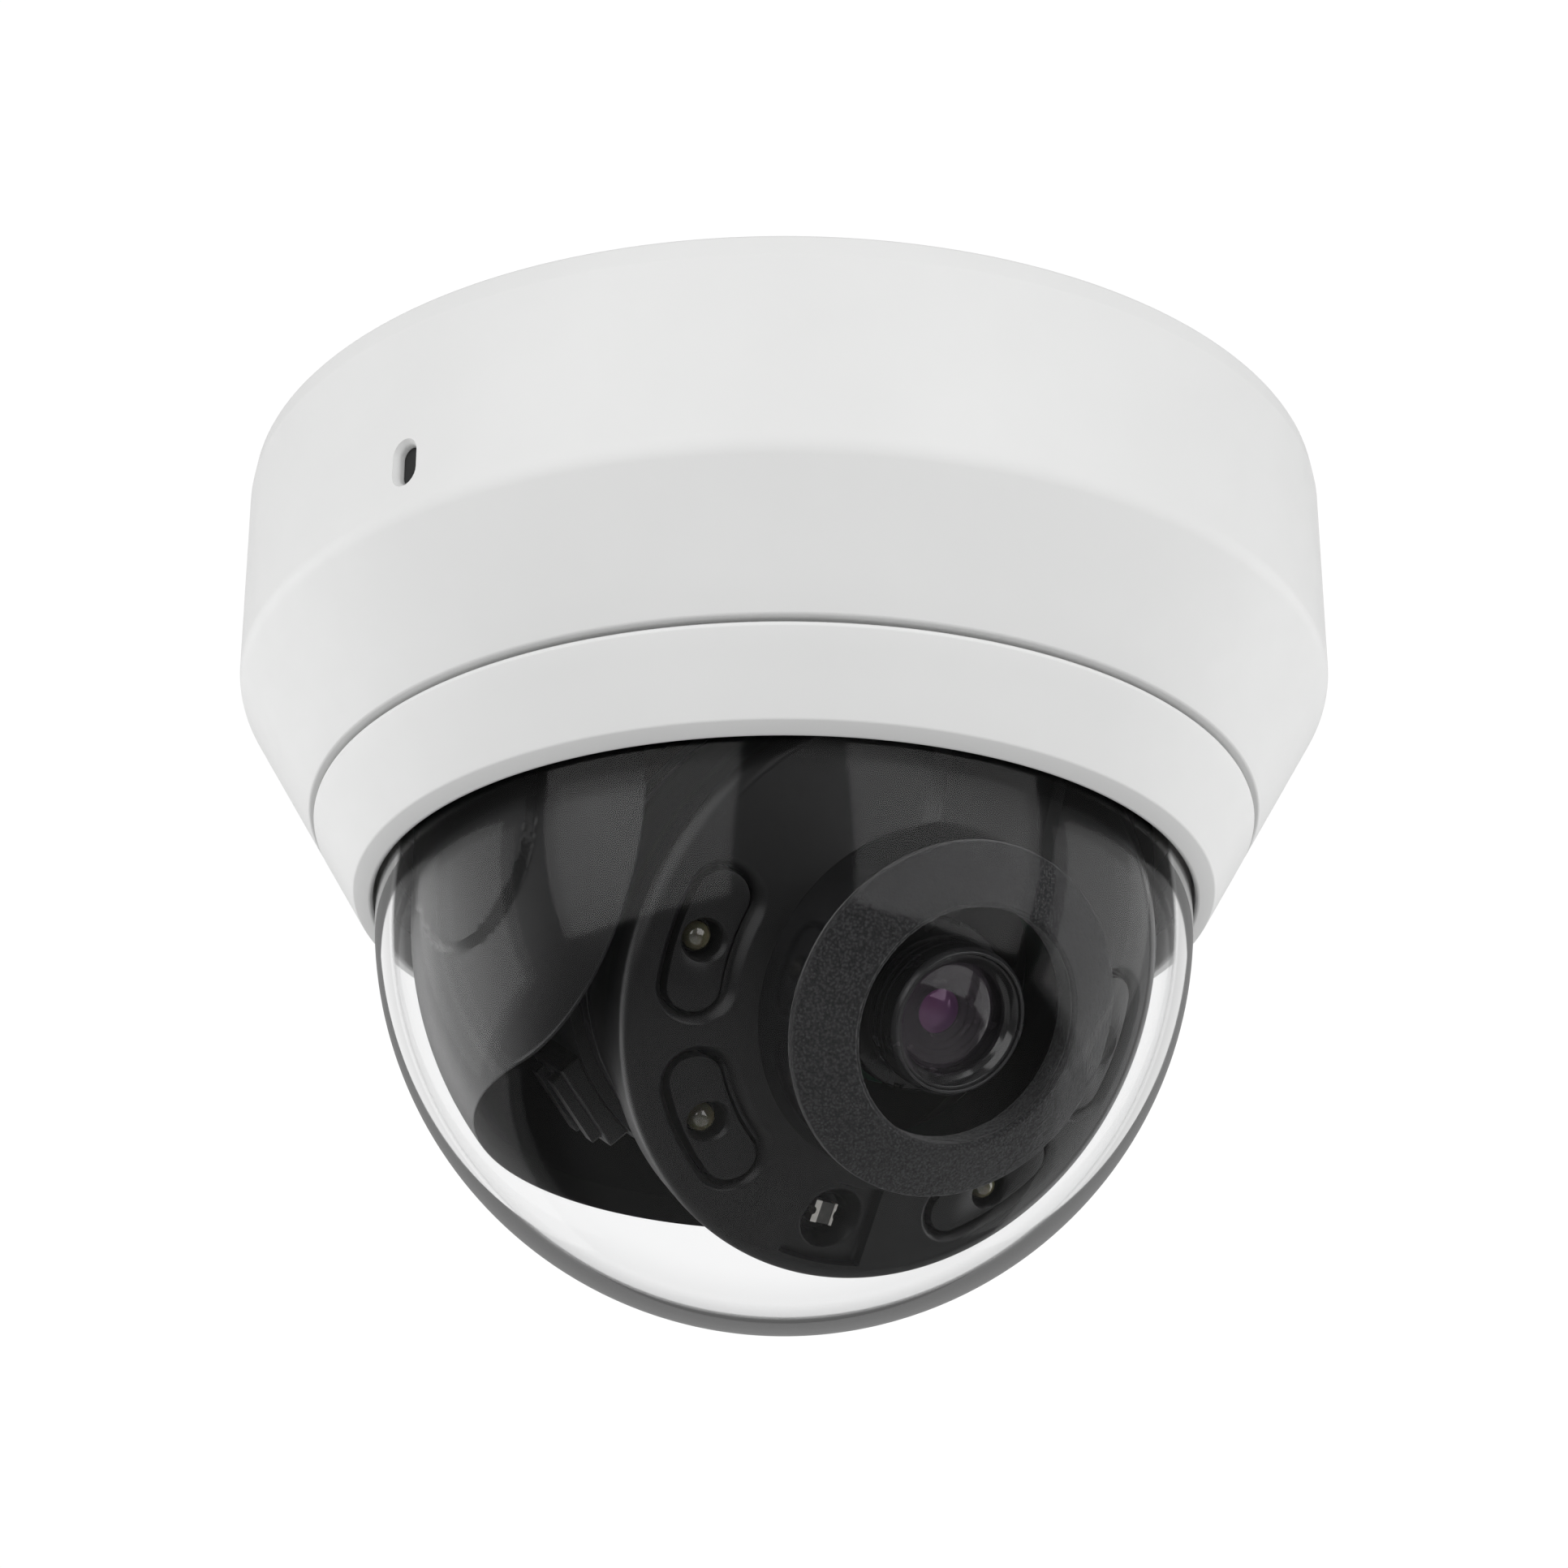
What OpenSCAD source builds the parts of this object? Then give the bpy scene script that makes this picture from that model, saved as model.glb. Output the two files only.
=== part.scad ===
// Ceiling dome network camera, built as an assembly of separate pieces.
// Origin at the centre of the ceiling face, +Z up into the ceiling, front is -Y.
// The camera hangs below: every piece has z <= 0. Millimetres throughout.

/* [Housing] */
// Outside radius of the housing wall at its foot
body_r = 60; // [59.6:0.1:60.4]
// Height of the straight housing wall
wall_h = 24.4; // [24:0.1:24.8]
// Outside radius of the clear dome
dome_r = 44.18; // [44.1:0.02:44.24]
// Wall thickness of the clear dome
dome_t = 1.9; // [1.6:0.1:2]

/* [Pose] */
// Pan direction of the lens, degrees round from the front
pan_az = 34.5; // [-180:0.5:180]
// Tilt of the lens below the horizon, degrees
tilt_down = 34.5; // [15:0.5:90]

/* [Lens] */
// Radius of the lens front ring
lens_r = 7.84; // [7.6:0.02:8]
// Outside radius of the foam ring
foam_r = 18.8; // [18.6:0.05:18.9]
// Radius of the hole in the foam ring
foam_hole_r = 12.35; // [11.5:0.05:13]

/* [Fits] */
// Radial running clearance of every turning fit
run_gap = 0.06; // [0.03:0.01:0.1]

/* [Hidden] */
$fn = 96;
oz = -50.8;                 // height of the pan, tilt and rotation centre
dome_cz = -50.72;           // centre of the dome's sphere
cone_k = 0.5585;            // radius lost per mm of height on the cone
wall_in = body_r - 2.8;     // inside radius of the wall
dome_in = dome_r - dome_t;
seam_z = -39.13;            // bottom of the upper housing
seam_gap = 0.44;
lip_z = -49.41;             // lowest edge of the cover ring
spigot_r = 48.64;
lug_a = [60, 180, 300];
post_a = [8, 110, 260];     // chassis posts
foot_a = [75, 180, 285];    // housing feet
pcb_a = [45, 135, 225, 315];
latch_a = 229.6;            // where the tool slot is in the wall
latch_z = -18.7;
shroud_r = 40.3;
shroud_t = 1.8;
slot_w = 32.8;              // half width of the shroud's slot
led_a = [0, -45, -135, 180];
led_r = 25.2;
face_k = 0.277;             // slope of the front cover's face
face_z = 29.6;              // face height at the collar
face_r = 18.66;
collar_r = 18.6;

// ---- shared shapes -------------------------------------------------------
function unit(v) = v / norm(v);
// rounded corner p0-p1-p2 as n + 1 points
function fil(p0, p1, p2, r, n) =
  let (u = unit(p0 - p1), v = unit(p2 - p1), h = acos(u * v) / 2,
       c = p1 + unit(u + v) * r / sin(h), a = p1 + u * r / tan(h), b = p1 + v * r / tan(h))
  [for (i = [0:n]) let (f = i / n) c + unit((a - c) * (1 - f) + (b - c) * f) * r];
function cone_at(z) = body_r - (-z - wall_h) * cone_k;
function face_at(r) = face_z - (r - face_r) * face_k;

module pan_f() { translate([0, 0, oz]) rotate([0, 0, pan_az]) children(); }
// lens axis along +Z, viewer's right +X, up +Y
module ball_f() { pan_f() rotate([tilt_down + 90, 0, 0]) children(); }
module ring(r0, r1, z0, z1) {
  translate([0, 0, z0]) difference() {
    cylinder(r = r1, h = z1 - z0);
    translate([0, 0, -1]) cylinder(r = r0, h = z1 - z0 + 2);
  }
}
module at(angles, r) { for (a = angles) rotate([0, 0, a]) translate([r, 0, 0]) children(); }
module both_sides() { children(); mirror([1, 0, 0]) children(); }
module stadium(w, h) {
  for (s = [-1, 1]) translate([0, s * (h - w) / 2]) circle(r = w / 2);
  square([w, h - w], center = true);
}
// bean: an arc band of half width hw about radius rm, round ends at +-ha
module bean(rm, hw, ha) {
  polygon(concat(
    [for (i = [0:6]) let (a = -ha + i * ha / 3) (rm + hw) * [cos(a), sin(a)]],
    [for (i = [1:7]) rm * [cos(ha), sin(ha)] + hw * [cos(ha + i * 22.5), sin(ha + i * 22.5)]],
    [for (i = [0:6]) let (a = ha - i * ha / 3) (rm - hw) * [cos(a), sin(a)]],
    [for (i = [1:7]) rm * [cos(ha), -sin(ha)] + hw * [cos(180 - ha + i * 22.5), sin(180 - ha + i * 22.5)]]));
}
module pin_screw(r, len, hr, hh) {
  cylinder(r = r, h = len);
  translate([0, 0, -hh]) difference() {
    cylinder(r = hr, h = hh);
    for (a = [0, 90]) rotate([0, 0, a]) translate([-hr * 0.6, -hr * 0.13, -0.01]) cube([hr * 1.2, hr * 0.26, hh * 0.5]);
  }
}

// ---- fixed body ----------------------------------------------------------
module mounting_base() {
  color([0.82, 0.82, 0.8]) difference() {
    union() {
      translate([0, 0, -3]) cylinder(r = wall_in - 0.4, h = 3);
      at(post_a, 49.2) translate([0, 0, -17]) cylinder(r = 3.2, h = 15);
      at(foot_a, 51) translate([0, 0, -9]) cylinder(r = 3.4, h = 7);
      at(pcb_a, 37) translate([0, 0, -9]) cylinder(r = 2.6, h = 7);
    }
    translate([0, 42, -4]) cylinder(r = 8, h = 5);
    at(pcb_a, 50) {
      translate([0, 0, -4]) cylinder(r = 2.3, h = 5);
      translate([0, 0, -3.01]) cylinder(r1 = 4.4, r2 = 2.3, h = 2.1);
    }
    at(post_a, 49.2) translate([0, 0, -17.01]) cylinder(r = 1.2, h = 10);
    at(foot_a, 51) translate([0, 0, -9.01]) cylinder(r = 1.2, h = 7);
    at(pcb_a, 37) translate([0, 0, -9.01]) cylinder(r = 1, h = 5);
  }
}
module cable_grommet() {
  color([0.12, 0.12, 0.12]) translate([0, 42, 0]) difference() {
    union() {
      translate([0, 0, -3]) cylinder(r = 7.95, h = 2.9);
      translate([0, 0, -4.6]) cylinder(r = 9.4, h = 1.6);
    }
    translate([0, 0, -5]) cylinder(r = 3.2, h = 6);
  }
}
module upper_housing() {
  color([0.93, 0.93, 0.92]) difference() {
    union() {
      rotate_extrude() polygon(concat(
        [[wall_in, 0]],
        fil([wall_in, 0], [body_r - 0.58, 0], [body_r - 0.2, -2.5], 0.5, 4),
        [[body_r - 0.2, -2.5]],
        fil([body_r - 0.2, -2.5], [body_r, -wall_h], [cone_at(seam_z), seam_z], 4, 6),
        fil([body_r, -wall_h], [cone_at(seam_z), seam_z], [spigot_r + run_gap, seam_z], 0.35, 3),
        [[spigot_r + run_gap, seam_z], [spigot_r + run_gap, -36.9],
         [cone_at(-36.9) - 2.84, -36.9], [wall_in, -wall_h - 0.05]]));
      at(foot_a, 51) {
        translate([0, 0, -11.5]) cylinder(r = 4, h = 2.5);
        translate([0, -4, -11.5]) cube([7, 8, 2.5]);
      }
      rotate([0, 0, latch_a]) for (s = [-1, 1])
        translate([50.5, s * 3.9 - 0.8, latch_z - 5]) cube([7.2, 1.6, 10]);
    }
    at(foot_a, 51) translate([0, 0, -12]) cylinder(r = 1.7, h = 4);
    // ways in for the cover's bayonet lugs
    for (a = lug_a) rotate([0, 0, a + 25 - 12]) rotate_extrude(angle = 24)
      translate([48, -39.3]) square([2.15, 2.6]);
    // tool slot with a bevelled mouth
    rotate([0, 0, latch_a]) translate([56, 0, latch_z]) rotate([90, 0, 90]) {
      linear_extrude(height = 6) stadium(2.5, 4.5);
      translate([0, 0, 3.45]) linear_extrude(height = 2) stadium(3.1, 5.1);
    }
  }
}
module housing_screws() {
  color([0.7, 0.7, 0.72]) at(foot_a, 51) translate([0, 0, -11.5]) pin_screw(1.16, 8.5, 2.7, 1.7);
}
module chassis_ring() {
  color([0.1, 0.1, 0.1]) difference() {
    union() {
      translate([0, 0, -19.5]) linear_extrude(height = 2.5) difference() {
        union() { circle(r = 46.4); at(post_a, 49) circle(r = 4.6); }
        circle(r = 30);
        at(post_a, 49.2) circle(r = 1.6);
      }
      ring(44, 46.4, -24, -19.5);
    }
    at([22, 112, 202, 292], 45.2) translate([0, 0, -24.01]) cylinder(r = 0.8, h = 3.6);
  }
}
module chassis_screws() {
  color([0.7, 0.7, 0.72]) at(post_a, 49.2) translate([0, 0, -19.5]) pin_screw(1.16, 9, 2.5, 1.6);
}
module pan_retainer() {
  color([0.16, 0.16, 0.17]) difference() {
    ring(42, 46.4, -25.5, -24);
    at([22, 112, 202, 292], 45.2) translate([0, 0, -26]) cylinder(r = 0.9, h = 3);
  }
}
module retainer_screws() {
  color([0.7, 0.7, 0.72]) at([22, 112, 202, 292], 45.2) translate([0, 0, -25.5]) pin_screw(0.76, 4.6, 1.5, 0.9);
}
module pan_washer() { color([0.75, 0.73, 0.68]) ring(37.5, 43.4, -19.95, -19.55); }
module main_board() {
  color([0.05, 0.3, 0.16]) difference() {
    translate([0, 0, -10.6]) cylinder(r = 42.5, h = 1.6);
    translate([-8.6, 8, -12]) cube([17.2, 50, 4]);
    translate([0, 42, -12]) cylinder(r = 9.8, h = 4);
    at(pcb_a, 37) translate([0, 0, -12]) cylinder(r = 1.5, h = 4);
  }
}
module board_screws() {
  color([0.7, 0.7, 0.72]) at(pcb_a, 37) translate([0, 0, -10.6]) pin_screw(0.96, 6, 2.2, 1.3);
}
module processor_chip() {
  color([0.14, 0.14, 0.15]) translate([-7, -13, -12]) cube([14, 14, 1.4]);
}
module heat_spreader() {
  color([0.72, 0.73, 0.75]) difference() {
    translate([-11, -17, -16]) cube([22, 22, 4]);
    for (i = [0:4]) translate([-8.6 + i * 4, -18, -16.1]) cube([1.8, 24, 2.7]);
  }
}
module network_jack() {
  color([0.2, 0.2, 0.21]) difference() {
    union() {
      translate([-8, 9, -15.6]) cube([16, 21, 12]);
      translate([-11, 12, -12.1]) cube([22, 15, 1.5]);
    }
    translate([-6, 16, -13]) cube([12, 15, 7.6]);
    translate([-3, 16, -5.5]) cube([6, 15, 1]);
  }
}
module power_terminal() {
  color([0.1, 0.35, 0.2]) difference() {
    translate([14, 13, -16.8]) cube([10, 8, 6.2]);
    for (i = [0, 1]) translate([16.6 + i * 4.8, 16, -16.9]) cylinder(r = 1.5, h = 2.4);
    for (i = [0, 1]) translate([15.2 + i * 4.8, 18.6, -15]) cube([2.8, 3, 3.2]);
  }
}
module line_transformer() {
  color([0.12, 0.12, 0.13]) translate([-28, 10, -15.2]) cube([13, 10, 4.6]);
}
module card_slot() {
  color([0.76, 0.77, 0.79]) difference() {
    translate([15, -10, -12.6]) cube([14, 15, 2]);
    translate([16.4, -11, -12.1]) cube([11.2, 14.5, 1]);
  }
}
module memory_card() {
  color([0.1, 0.1, 0.12]) translate([16.5, -12.2, -12]) cube([11, 15, 0.8]);
}
module reset_switch() {
  color([0.76, 0.77, 0.79]) difference() {
    translate([-27, -12, -13]) cube([6, 6, 2.4]);
    translate([-24, -9, -13.1]) cylinder(r = 1.66, h = 1.6);
  }
}
module reset_button() {
  color([0.1, 0.1, 0.1]) translate([-24, -9, -14.4]) cylinder(r = 1.6, h = 2.4);
}
module release_latch() {
  color([0.1, 0.1, 0.1]) rotate([0, 0, latch_a]) {
    translate([51.5, -3, latch_z - 4]) cube([5.3, 6, 8]);
    translate([56.8, 0, latch_z]) rotate([90, 0, 90]) linear_extrude(height = 1.9) stadium(2.3, 4.3);
  }
}

// ---- removable dome cover ------------------------------------------------
module cover_ring() {
  color([0.93, 0.93, 0.92]) union() {
    rotate_extrude() polygon(concat(
      fil([spigot_r, seam_z - seam_gap], [cone_at(seam_z - seam_gap), seam_z - seam_gap], [cone_at(-48.26), -48.26], 0.35, 3),
      fil([cone_at(seam_z - seam_gap), seam_z - seam_gap], [cone_at(-48.26), -48.26], [44.5, lip_z], 0.5, 3),
      fil([cone_at(-48.26), -48.26], [44.4, lip_z], [44.3, -45.6], 0.3, 2),
      [[44.3, -45.5], [46.5, -45.5], [46.5, -36.2], [spigot_r, -36.2],
       [spigot_r, seam_z - seam_gap]]));
    for (a = lug_a) rotate([0, 0, a - 10]) rotate_extrude(angle = 20)
      translate([48, -36.8]) square([2, 1.6]);
  }
}
module clear_dome() {
  color([0.9, 0.92, 0.94, 0.3]) translate([0, 0, dome_cz]) rotate_extrude() difference() {
    union() {
      intersection() { circle(r = dome_r); translate([0, -60]) square([60, 60]); }
      square([dome_r, 6.82]);
      translate([0, 5.22]) square([46.4, 1.6]);
    }
    union() {
      intersection() { circle(r = dome_in); translate([-1, -60]) square([61, 60]); }
      translate([-1, 0]) square([dome_in + 1, 8]);
    }
  }
}
module dome_gasket() { color([0.1, 0.1, 0.1]) ring(42.6, 46.3, -43.9, -43.1); }
module dome_retainer() {
  color([0.12, 0.12, 0.13]) union() {
    ring(42.6, 46.45, -43.1, -41.5);
    ring(42.6, 43.6, -41.6, -39.5);
  }
}

// ---- pan body ------------------------------------------------------------
module turntable_yoke() {
  color([0.13, 0.13, 0.14]) union() {
    difference() {
      ring(32, 44 - run_gap, -23.9, -20);
      rotate([0, 0, pan_az]) at([30, 90, 150], 35.6) translate([0, 0, -24]) cylinder(r = 1, h = 3.5);
    }
    pan_f() both_sides() difference() {
      union() {
        translate([34.4, -7, 0]) cube([2.8, 14, 28]);
        rotate([0, 90, 0]) translate([0, 0, 34.4]) cylinder(r = 8, h = 2.8);
      }
      rotate([0, 90, 0]) translate([0, 0, 30]) cylinder(r = 2.5 + run_gap, h = 10);
    }
  }
}
module shell2d(ro) {
  intersection() { circle(r = ro); translate([0, -60]) square([60, 60]); }
  square([ro, 26.9]);
}
module inner_shroud() {
  color([0.1, 0.1, 0.1]) pan_f() difference() {
    union() {
      rotate_extrude() shell2d(shroud_r);
      // raised pads over the tilt pivots, open at the top
      intersection() {
        rotate_extrude() shell2d(41.3);
        both_sides() translate([30, 0, 0]) rotate([90, 0, 90]) linear_extrude(height = 20) {
          circle(r = 11.3);
          translate([-11.3, 0]) square([22.6, 25]);
        }
      }
    }
    rotate_extrude() {
      intersection() { circle(r = shroud_r - shroud_t); translate([0, -60]) square([60, 60]); }
      square([shroud_r - shroud_t, 25.2]);
      translate([0, 25]) square([33, 5]);
    }
    // mouth: round at the back, a slot up the front
    translate([0, 0, -50]) cylinder(r = slot_w, h = 40);
    translate([-slot_w, -60, -50]) cube([2 * slot_w, 60, 75]);
    at([30, 90, 150], 35.6) translate([0, 0, 20]) cylinder(r = 1.2, h = 10);
    // ways up for the ears of the yoke
    both_sides() translate([34.2, -7.3, 24.9]) cube([3.2, 14.6, 4]);
  }
}
module shroud_screws() {
  color([0.7, 0.7, 0.72]) pan_f() at([30, 90, 150], 35.6) translate([0, 0, 25.2]) pin_screw(0.96, 4.6, 1.9, 1.2);
}

// ---- tilt body -----------------------------------------------------------
module tilt_cradle() {
  color([0.14, 0.14, 0.15]) ball_f() difference() {
    union() {
      translate([0, 0, -4]) cylinder(r = 28, h = 8);
      both_sides() rotate([0, 90, 0]) translate([0, 0, 26.9]) cylinder(r = 5.5, h = 7);
    }
    translate([0, 0, -8]) cylinder(r = 24 + run_gap, h = 16);
    both_sides() rotate([0, 90, 0]) translate([0, 0, 29.2]) cylinder(r = 1.9, h = 10);
  }
}
module tilt_screws() {
  color([0.7, 0.7, 0.72]) ball_f() both_sides() rotate([0, 90, 0]) {
    translate([0, 0, 29.4]) cylinder(r = 1.86, h = 4.6);
    translate([0, 0, 33.9]) cylinder(r = 2.5, h = 3.4);
    translate([0, 0, 37.25]) difference() {
      cylinder(r = 3.9, h = 0.9);
      translate([-2.2, -0.5, 0.5]) cube([4.4, 1, 1]);
    }
  }
}
module tilt_washers() {
  color([0.75, 0.73, 0.68]) ball_f() both_sides() rotate([0, 90, 0]) ring(2.56, 5.4, 33.92, 34.36);
}
module rotation_clip() {
  color([0.15, 0.15, 0.16]) ball_f() rotate([0, 0, -127]) difference() {
    union() {
      translate([27.4, -5.5, -4.2]) cube([2.6, 11, 7.6]);
      translate([29.8, -4.5, -3.4]) cube([1.4, 9, 1.6]);
      translate([29.8, -4.5, 0.6]) cube([1.4, 9, 1.6]);
    }
    cylinder(r = 28.02, h = 20, center = true);
    translate([27, -4, -1.4]) cube([8, 8, 1.6]);
  }
}

// ---- camera module, turns about the lens axis ----------------------------
module module_shell() {
  color([0.12, 0.12, 0.13]) ball_f() difference() {
    union() {
      translate([0, 0, -14]) cylinder(r = 24, h = 20);
      translate([0, 0, 4.1]) cylinder(r = 26.7, h = 1.9);
    }
    translate([0, 0, -15]) cylinder(r = 22, h = 19);
    translate([0, 0, 3]) cylinder(r = 17.2, h = 4);
    ring(23.3, 30, -5.6, -4.1);
    at([0, 90, 180, 270], 20.3) translate([0, 0, 3]) cylinder(r = 1.2, h = 4);
  }
}
module rotation_retainer() {
  color([0.74, 0.75, 0.77]) ball_f() difference() {
    ring(23.35, 25.8, -5.5, -4.15);
    translate([20, -4, -7]) cube([10, 8, 4]);
  }
}
module module_cap() {
  color([0.12, 0.12, 0.13]) ball_f() difference() {
    union() {
      translate([0, 0, -15.5]) cylinder(r = 24, h = 1.5);
      translate([0, 0, -14.1]) cylinder(r = 21.95, h = 2.1);
      at([45, 135, 225, 315], 16) translate([0, 0, -12.2]) cylinder(r = 1.8, h = 4.2);
    }
    translate([0, 15, -17]) rotate([0, 0, 0]) linear_extrude(height = 7) stadium(3, 3.01);
  }
}
module module_board() {
  color([0.05, 0.3, 0.16]) ball_f() union() {
    translate([0, 0, -8]) cylinder(r = 19, h = 1.4);
    translate([-4, -4, -6.61]) cube([8, 8, 1.2]);
  }
}
module below_face(d) {
  rotate_extrude() polygon([[0, 10], [40, 10], [40, face_at(40) - d], [0, face_at(0) - d]]);
}
module above_face(d) {
  rotate_extrude() polygon([[0, 60], [40, 60], [40, face_at(40) - d], [0, face_at(0) - d]]);
}
module front_cover() {
  color([0.1, 0.1, 0.11]) ball_f() difference() {
    union() {
      rotate_extrude() polygon(concat(
        [[16, 6], [26.7, 6], [27.2, 9], [31.1, 20.5]],
        fil([31.1, 20.5], [31.9, 26.0], [face_r, face_z], 2.2, 6),
        [[face_r, face_z], [face_r, face_z - 2.0]],
        [[28.9, face_at(28.9) - 2.0], [29.2, 20.8], [25.4, 9], [25.4, 7.8], [16, 7.8]]));
      at([0, 90, 180, 270], 20.3) translate([0, 0, 7]) cylinder(r = 2.9, h = 6);
      at([90, 210, 330], 23.2) translate([0, 0, 7]) cylinder(r = 2.1, h = 14.4);
      // walls of the light sensor's pocket
      intersection() {
        translate([-6, -29.2, 25.2]) cube([12, 9.8, 6]);
        below_face(0.2);
      }
    }
    at([0, 90, 180, 270], 20.3) translate([0, 0, 5]) cylinder(r = 1, h = 7);
    // lamp windows: bevelled mouth, then the hole the insert stands in
    for (a = led_a) rotate([0, 0, a]) {
      translate([0, 0, 20]) linear_extrude(height = 14) bean(led_r, 3.2, 10.8);
      intersection() {
        translate([0, 0, 20]) linear_extrude(height = 14) bean(led_r - 0.3, 3.95, 10.5);
        above_face(1);
      }
    }
    // channel at the top, from the collar out to the rim
    intersection() {
      translate([-8.2, 10, 20]) cube([17, 30, 20]);
      above_face(1.1);
    }
    // light sensor pad and its conical pocket
    intersection() {
      translate([0, 0, 20]) linear_extrude(height = 14)
        polygon([[-3, -19.5], [3.2, -19.5], [5.2, -29.4], [-4.6, -29.4]]);
      above_face(1.1);
    }
    translate([0, -24.2, 20]) cylinder(r = 2.3, h = 10);
    translate([0, -24.2, 25.2]) cylinder(r1 = 2.3, r2 = 3.9, h = 2.4);
  }
}
module cover_screws() {
  color([0.7, 0.7, 0.72]) ball_f() at([0, 90, 180, 270], 20.3) translate([0, 0, 4]) pin_screw(0.96, 7, 1.7, 1.2);
}
module led_board() {
  color([0.06, 0.06, 0.07]) ball_f() ring(17.6, 28.2, 21.4, 23);
}
module ir_leds() {
  color([0.95, 0.9, 0.7]) ball_f() at(led_a, led_r) union() {
    translate([-1.25, -1.25, 23]) cube([2.5, 2.5, 1.2]);
    translate([0, 0, 24.1]) cylinder(r = 1.65, h = 1.9);
    translate([0, 0, 26]) sphere(r = 1.65);
  }
}
module led_inserts() {
  color([0.13, 0.13, 0.14]) ball_f() for (a = led_a) rotate([0, 0, a]) difference() {
    intersection() {
      translate([0, 0, 23]) linear_extrude(height = 8) bean(led_r, 2.7, 11);
      below_face(0.35);
    }
    translate([led_r, 0, 22]) cylinder(r = 1.9, h = 8);
    translate([led_r, 0, 26.4]) cylinder(r1 = 1.9, r2 = 2.7, h = 1.4);
  }
}
module light_sensor() {
  color([0.6, 0.6, 0.55]) ball_f() union() {
    translate([-1.2, -25.3, 23]) cube([2.4, 2.2, 1.6]);
    translate([-1.45, -25.45, 24.5]) cube([2.9, 2.5, 1]);
  }
}
module lens_collar() { color([0.08, 0.08, 0.08]) ball_f() ring(16.6, collar_r, 23, 36.4); }
module foam_ring() {
  color([0.2, 0.2, 0.21]) ball_f() rotate_extrude() intersection() {
    translate([foam_hole_r, 36.4]) square([foam_r - foam_hole_r, 6]);
    circle(r = 41.9);
  }
}
module sensor_board() {
  color([0.05, 0.3, 0.16]) ball_f() translate([-12.6, -12.6, 7.8]) cube([25.2, 25.2, 1.6]);
}
module image_sensor() {
  color([0.25, 0.22, 0.35]) ball_f() translate([-4.5, -3.8, 9.4]) cube([9, 7.6, 1.4]);
}
module filter_frame() {
  color([0.1, 0.1, 0.1]) ball_f() difference() {
    translate([-10, -10, 9.4]) cube([20, 20, 5.2]);
    translate([-6, -6, 9]) cube([12, 12, 2.8]);
    cylinder(r = 4.6, h = 20);
    translate([-7, -5.2, 12.3]) cube([20, 10.4, 0.9]);
  }
}
module filter_blade() {
  color([0.3, 0.45, 0.6]) ball_f() translate([-5.6, -5.14, 12.4]) cube([11.2, 10.28, 0.7]);
}
module lens_mount() {
  color([0.12, 0.12, 0.12]) ball_f() difference() {
    union() {
      translate([-10, -10, 14.6]) cube([20, 20, 1.8]);
      translate([0, 0, 16.3]) cylinder(r = 8.8, h = 13.2);
    }
    cylinder(r = 6 + run_gap, h = 40);
  }
}
module lens_lock_ring() {
  color([0.3, 0.3, 0.3]) ball_f() difference() {
    ring(6 + run_gap, 9.2, 29.5, 31.5);
    for (a = [0:45:315]) rotate([0, 0, a]) translate([8.8, -0.5, 29]) cube([2, 1, 3]);
  }
}

// ---- focusing lens, turns in its mount -----------------------------------
module lens_barrel() {
  color([0.08, 0.08, 0.08]) ball_f() rotate_extrude() polygon([
    [4.6, 16.6], [6, 16.6], [6, 33], [lens_r, 33], [lens_r, 37.8], [lens_r - 0.45, 38.3],
    [7.12, 38.3], [7.12, 35.6], [4.6, 35.6]]);
}
module lens_trim_ring() {
  color([0.1, 0.1, 0.1]) ball_f() rotate_extrude() polygon([
    [5.85, 36.4], [7.1, 36.4], [7.1, 38.1], [6.75, 38.1], [5.95, 36.9]]);
}
module lens_front_glass() {
  color([0.5, 0.45, 0.6, 0.4]) ball_f() union() {
    translate([0, 0, 35.6]) cylinder(r = 7.05, h = 0.8);
    intersection() {
      translate([0, 0, 25.6]) sphere(r = 12.25);
      translate([0, 0, 36.3]) cylinder(r = 5.8, h = 3);
    }
  }
}
module lens_inner_element() {
  color([0.5, 0.3, 0.55, 0.5]) ball_f() intersection() {
    translate([0, 0, 24.5]) sphere(r = 9.5);
    translate([0, 0, 29]) cylinder(r = 4.55, h = 6);
  }
}
module lens_rear_element() {
  color([0.5, 0.5, 0.6, 0.5]) ball_f() translate([0, 0, 18]) cylinder(r = 4.55, h = 2);
}

mounting_base();
cable_grommet();
upper_housing();
housing_screws();
chassis_ring();
chassis_screws();
pan_retainer();
retainer_screws();
pan_washer();
main_board();
board_screws();
processor_chip();
heat_spreader();
network_jack();
power_terminal();
line_transformer();
card_slot();
memory_card();
reset_switch();
reset_button();
release_latch();
cover_ring();
clear_dome();
dome_gasket();
dome_retainer();
turntable_yoke();
inner_shroud();
shroud_screws();
tilt_cradle();
tilt_screws();
tilt_washers();
rotation_clip();
module_shell();
rotation_retainer();
module_cap();
module_board();
front_cover();
cover_screws();
led_board();
ir_leds();
led_inserts();
light_sensor();
lens_collar();
foam_ring();
sensor_board();
image_sensor();
filter_frame();
filter_blade();
lens_mount();
lens_lock_ring();
lens_barrel();
lens_trim_ring();
lens_front_glass();
lens_inner_element();
lens_rear_element();
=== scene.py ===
import math
import bpy
import bmesh
import numpy as np
from mathutils import Matrix, Vector


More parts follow.
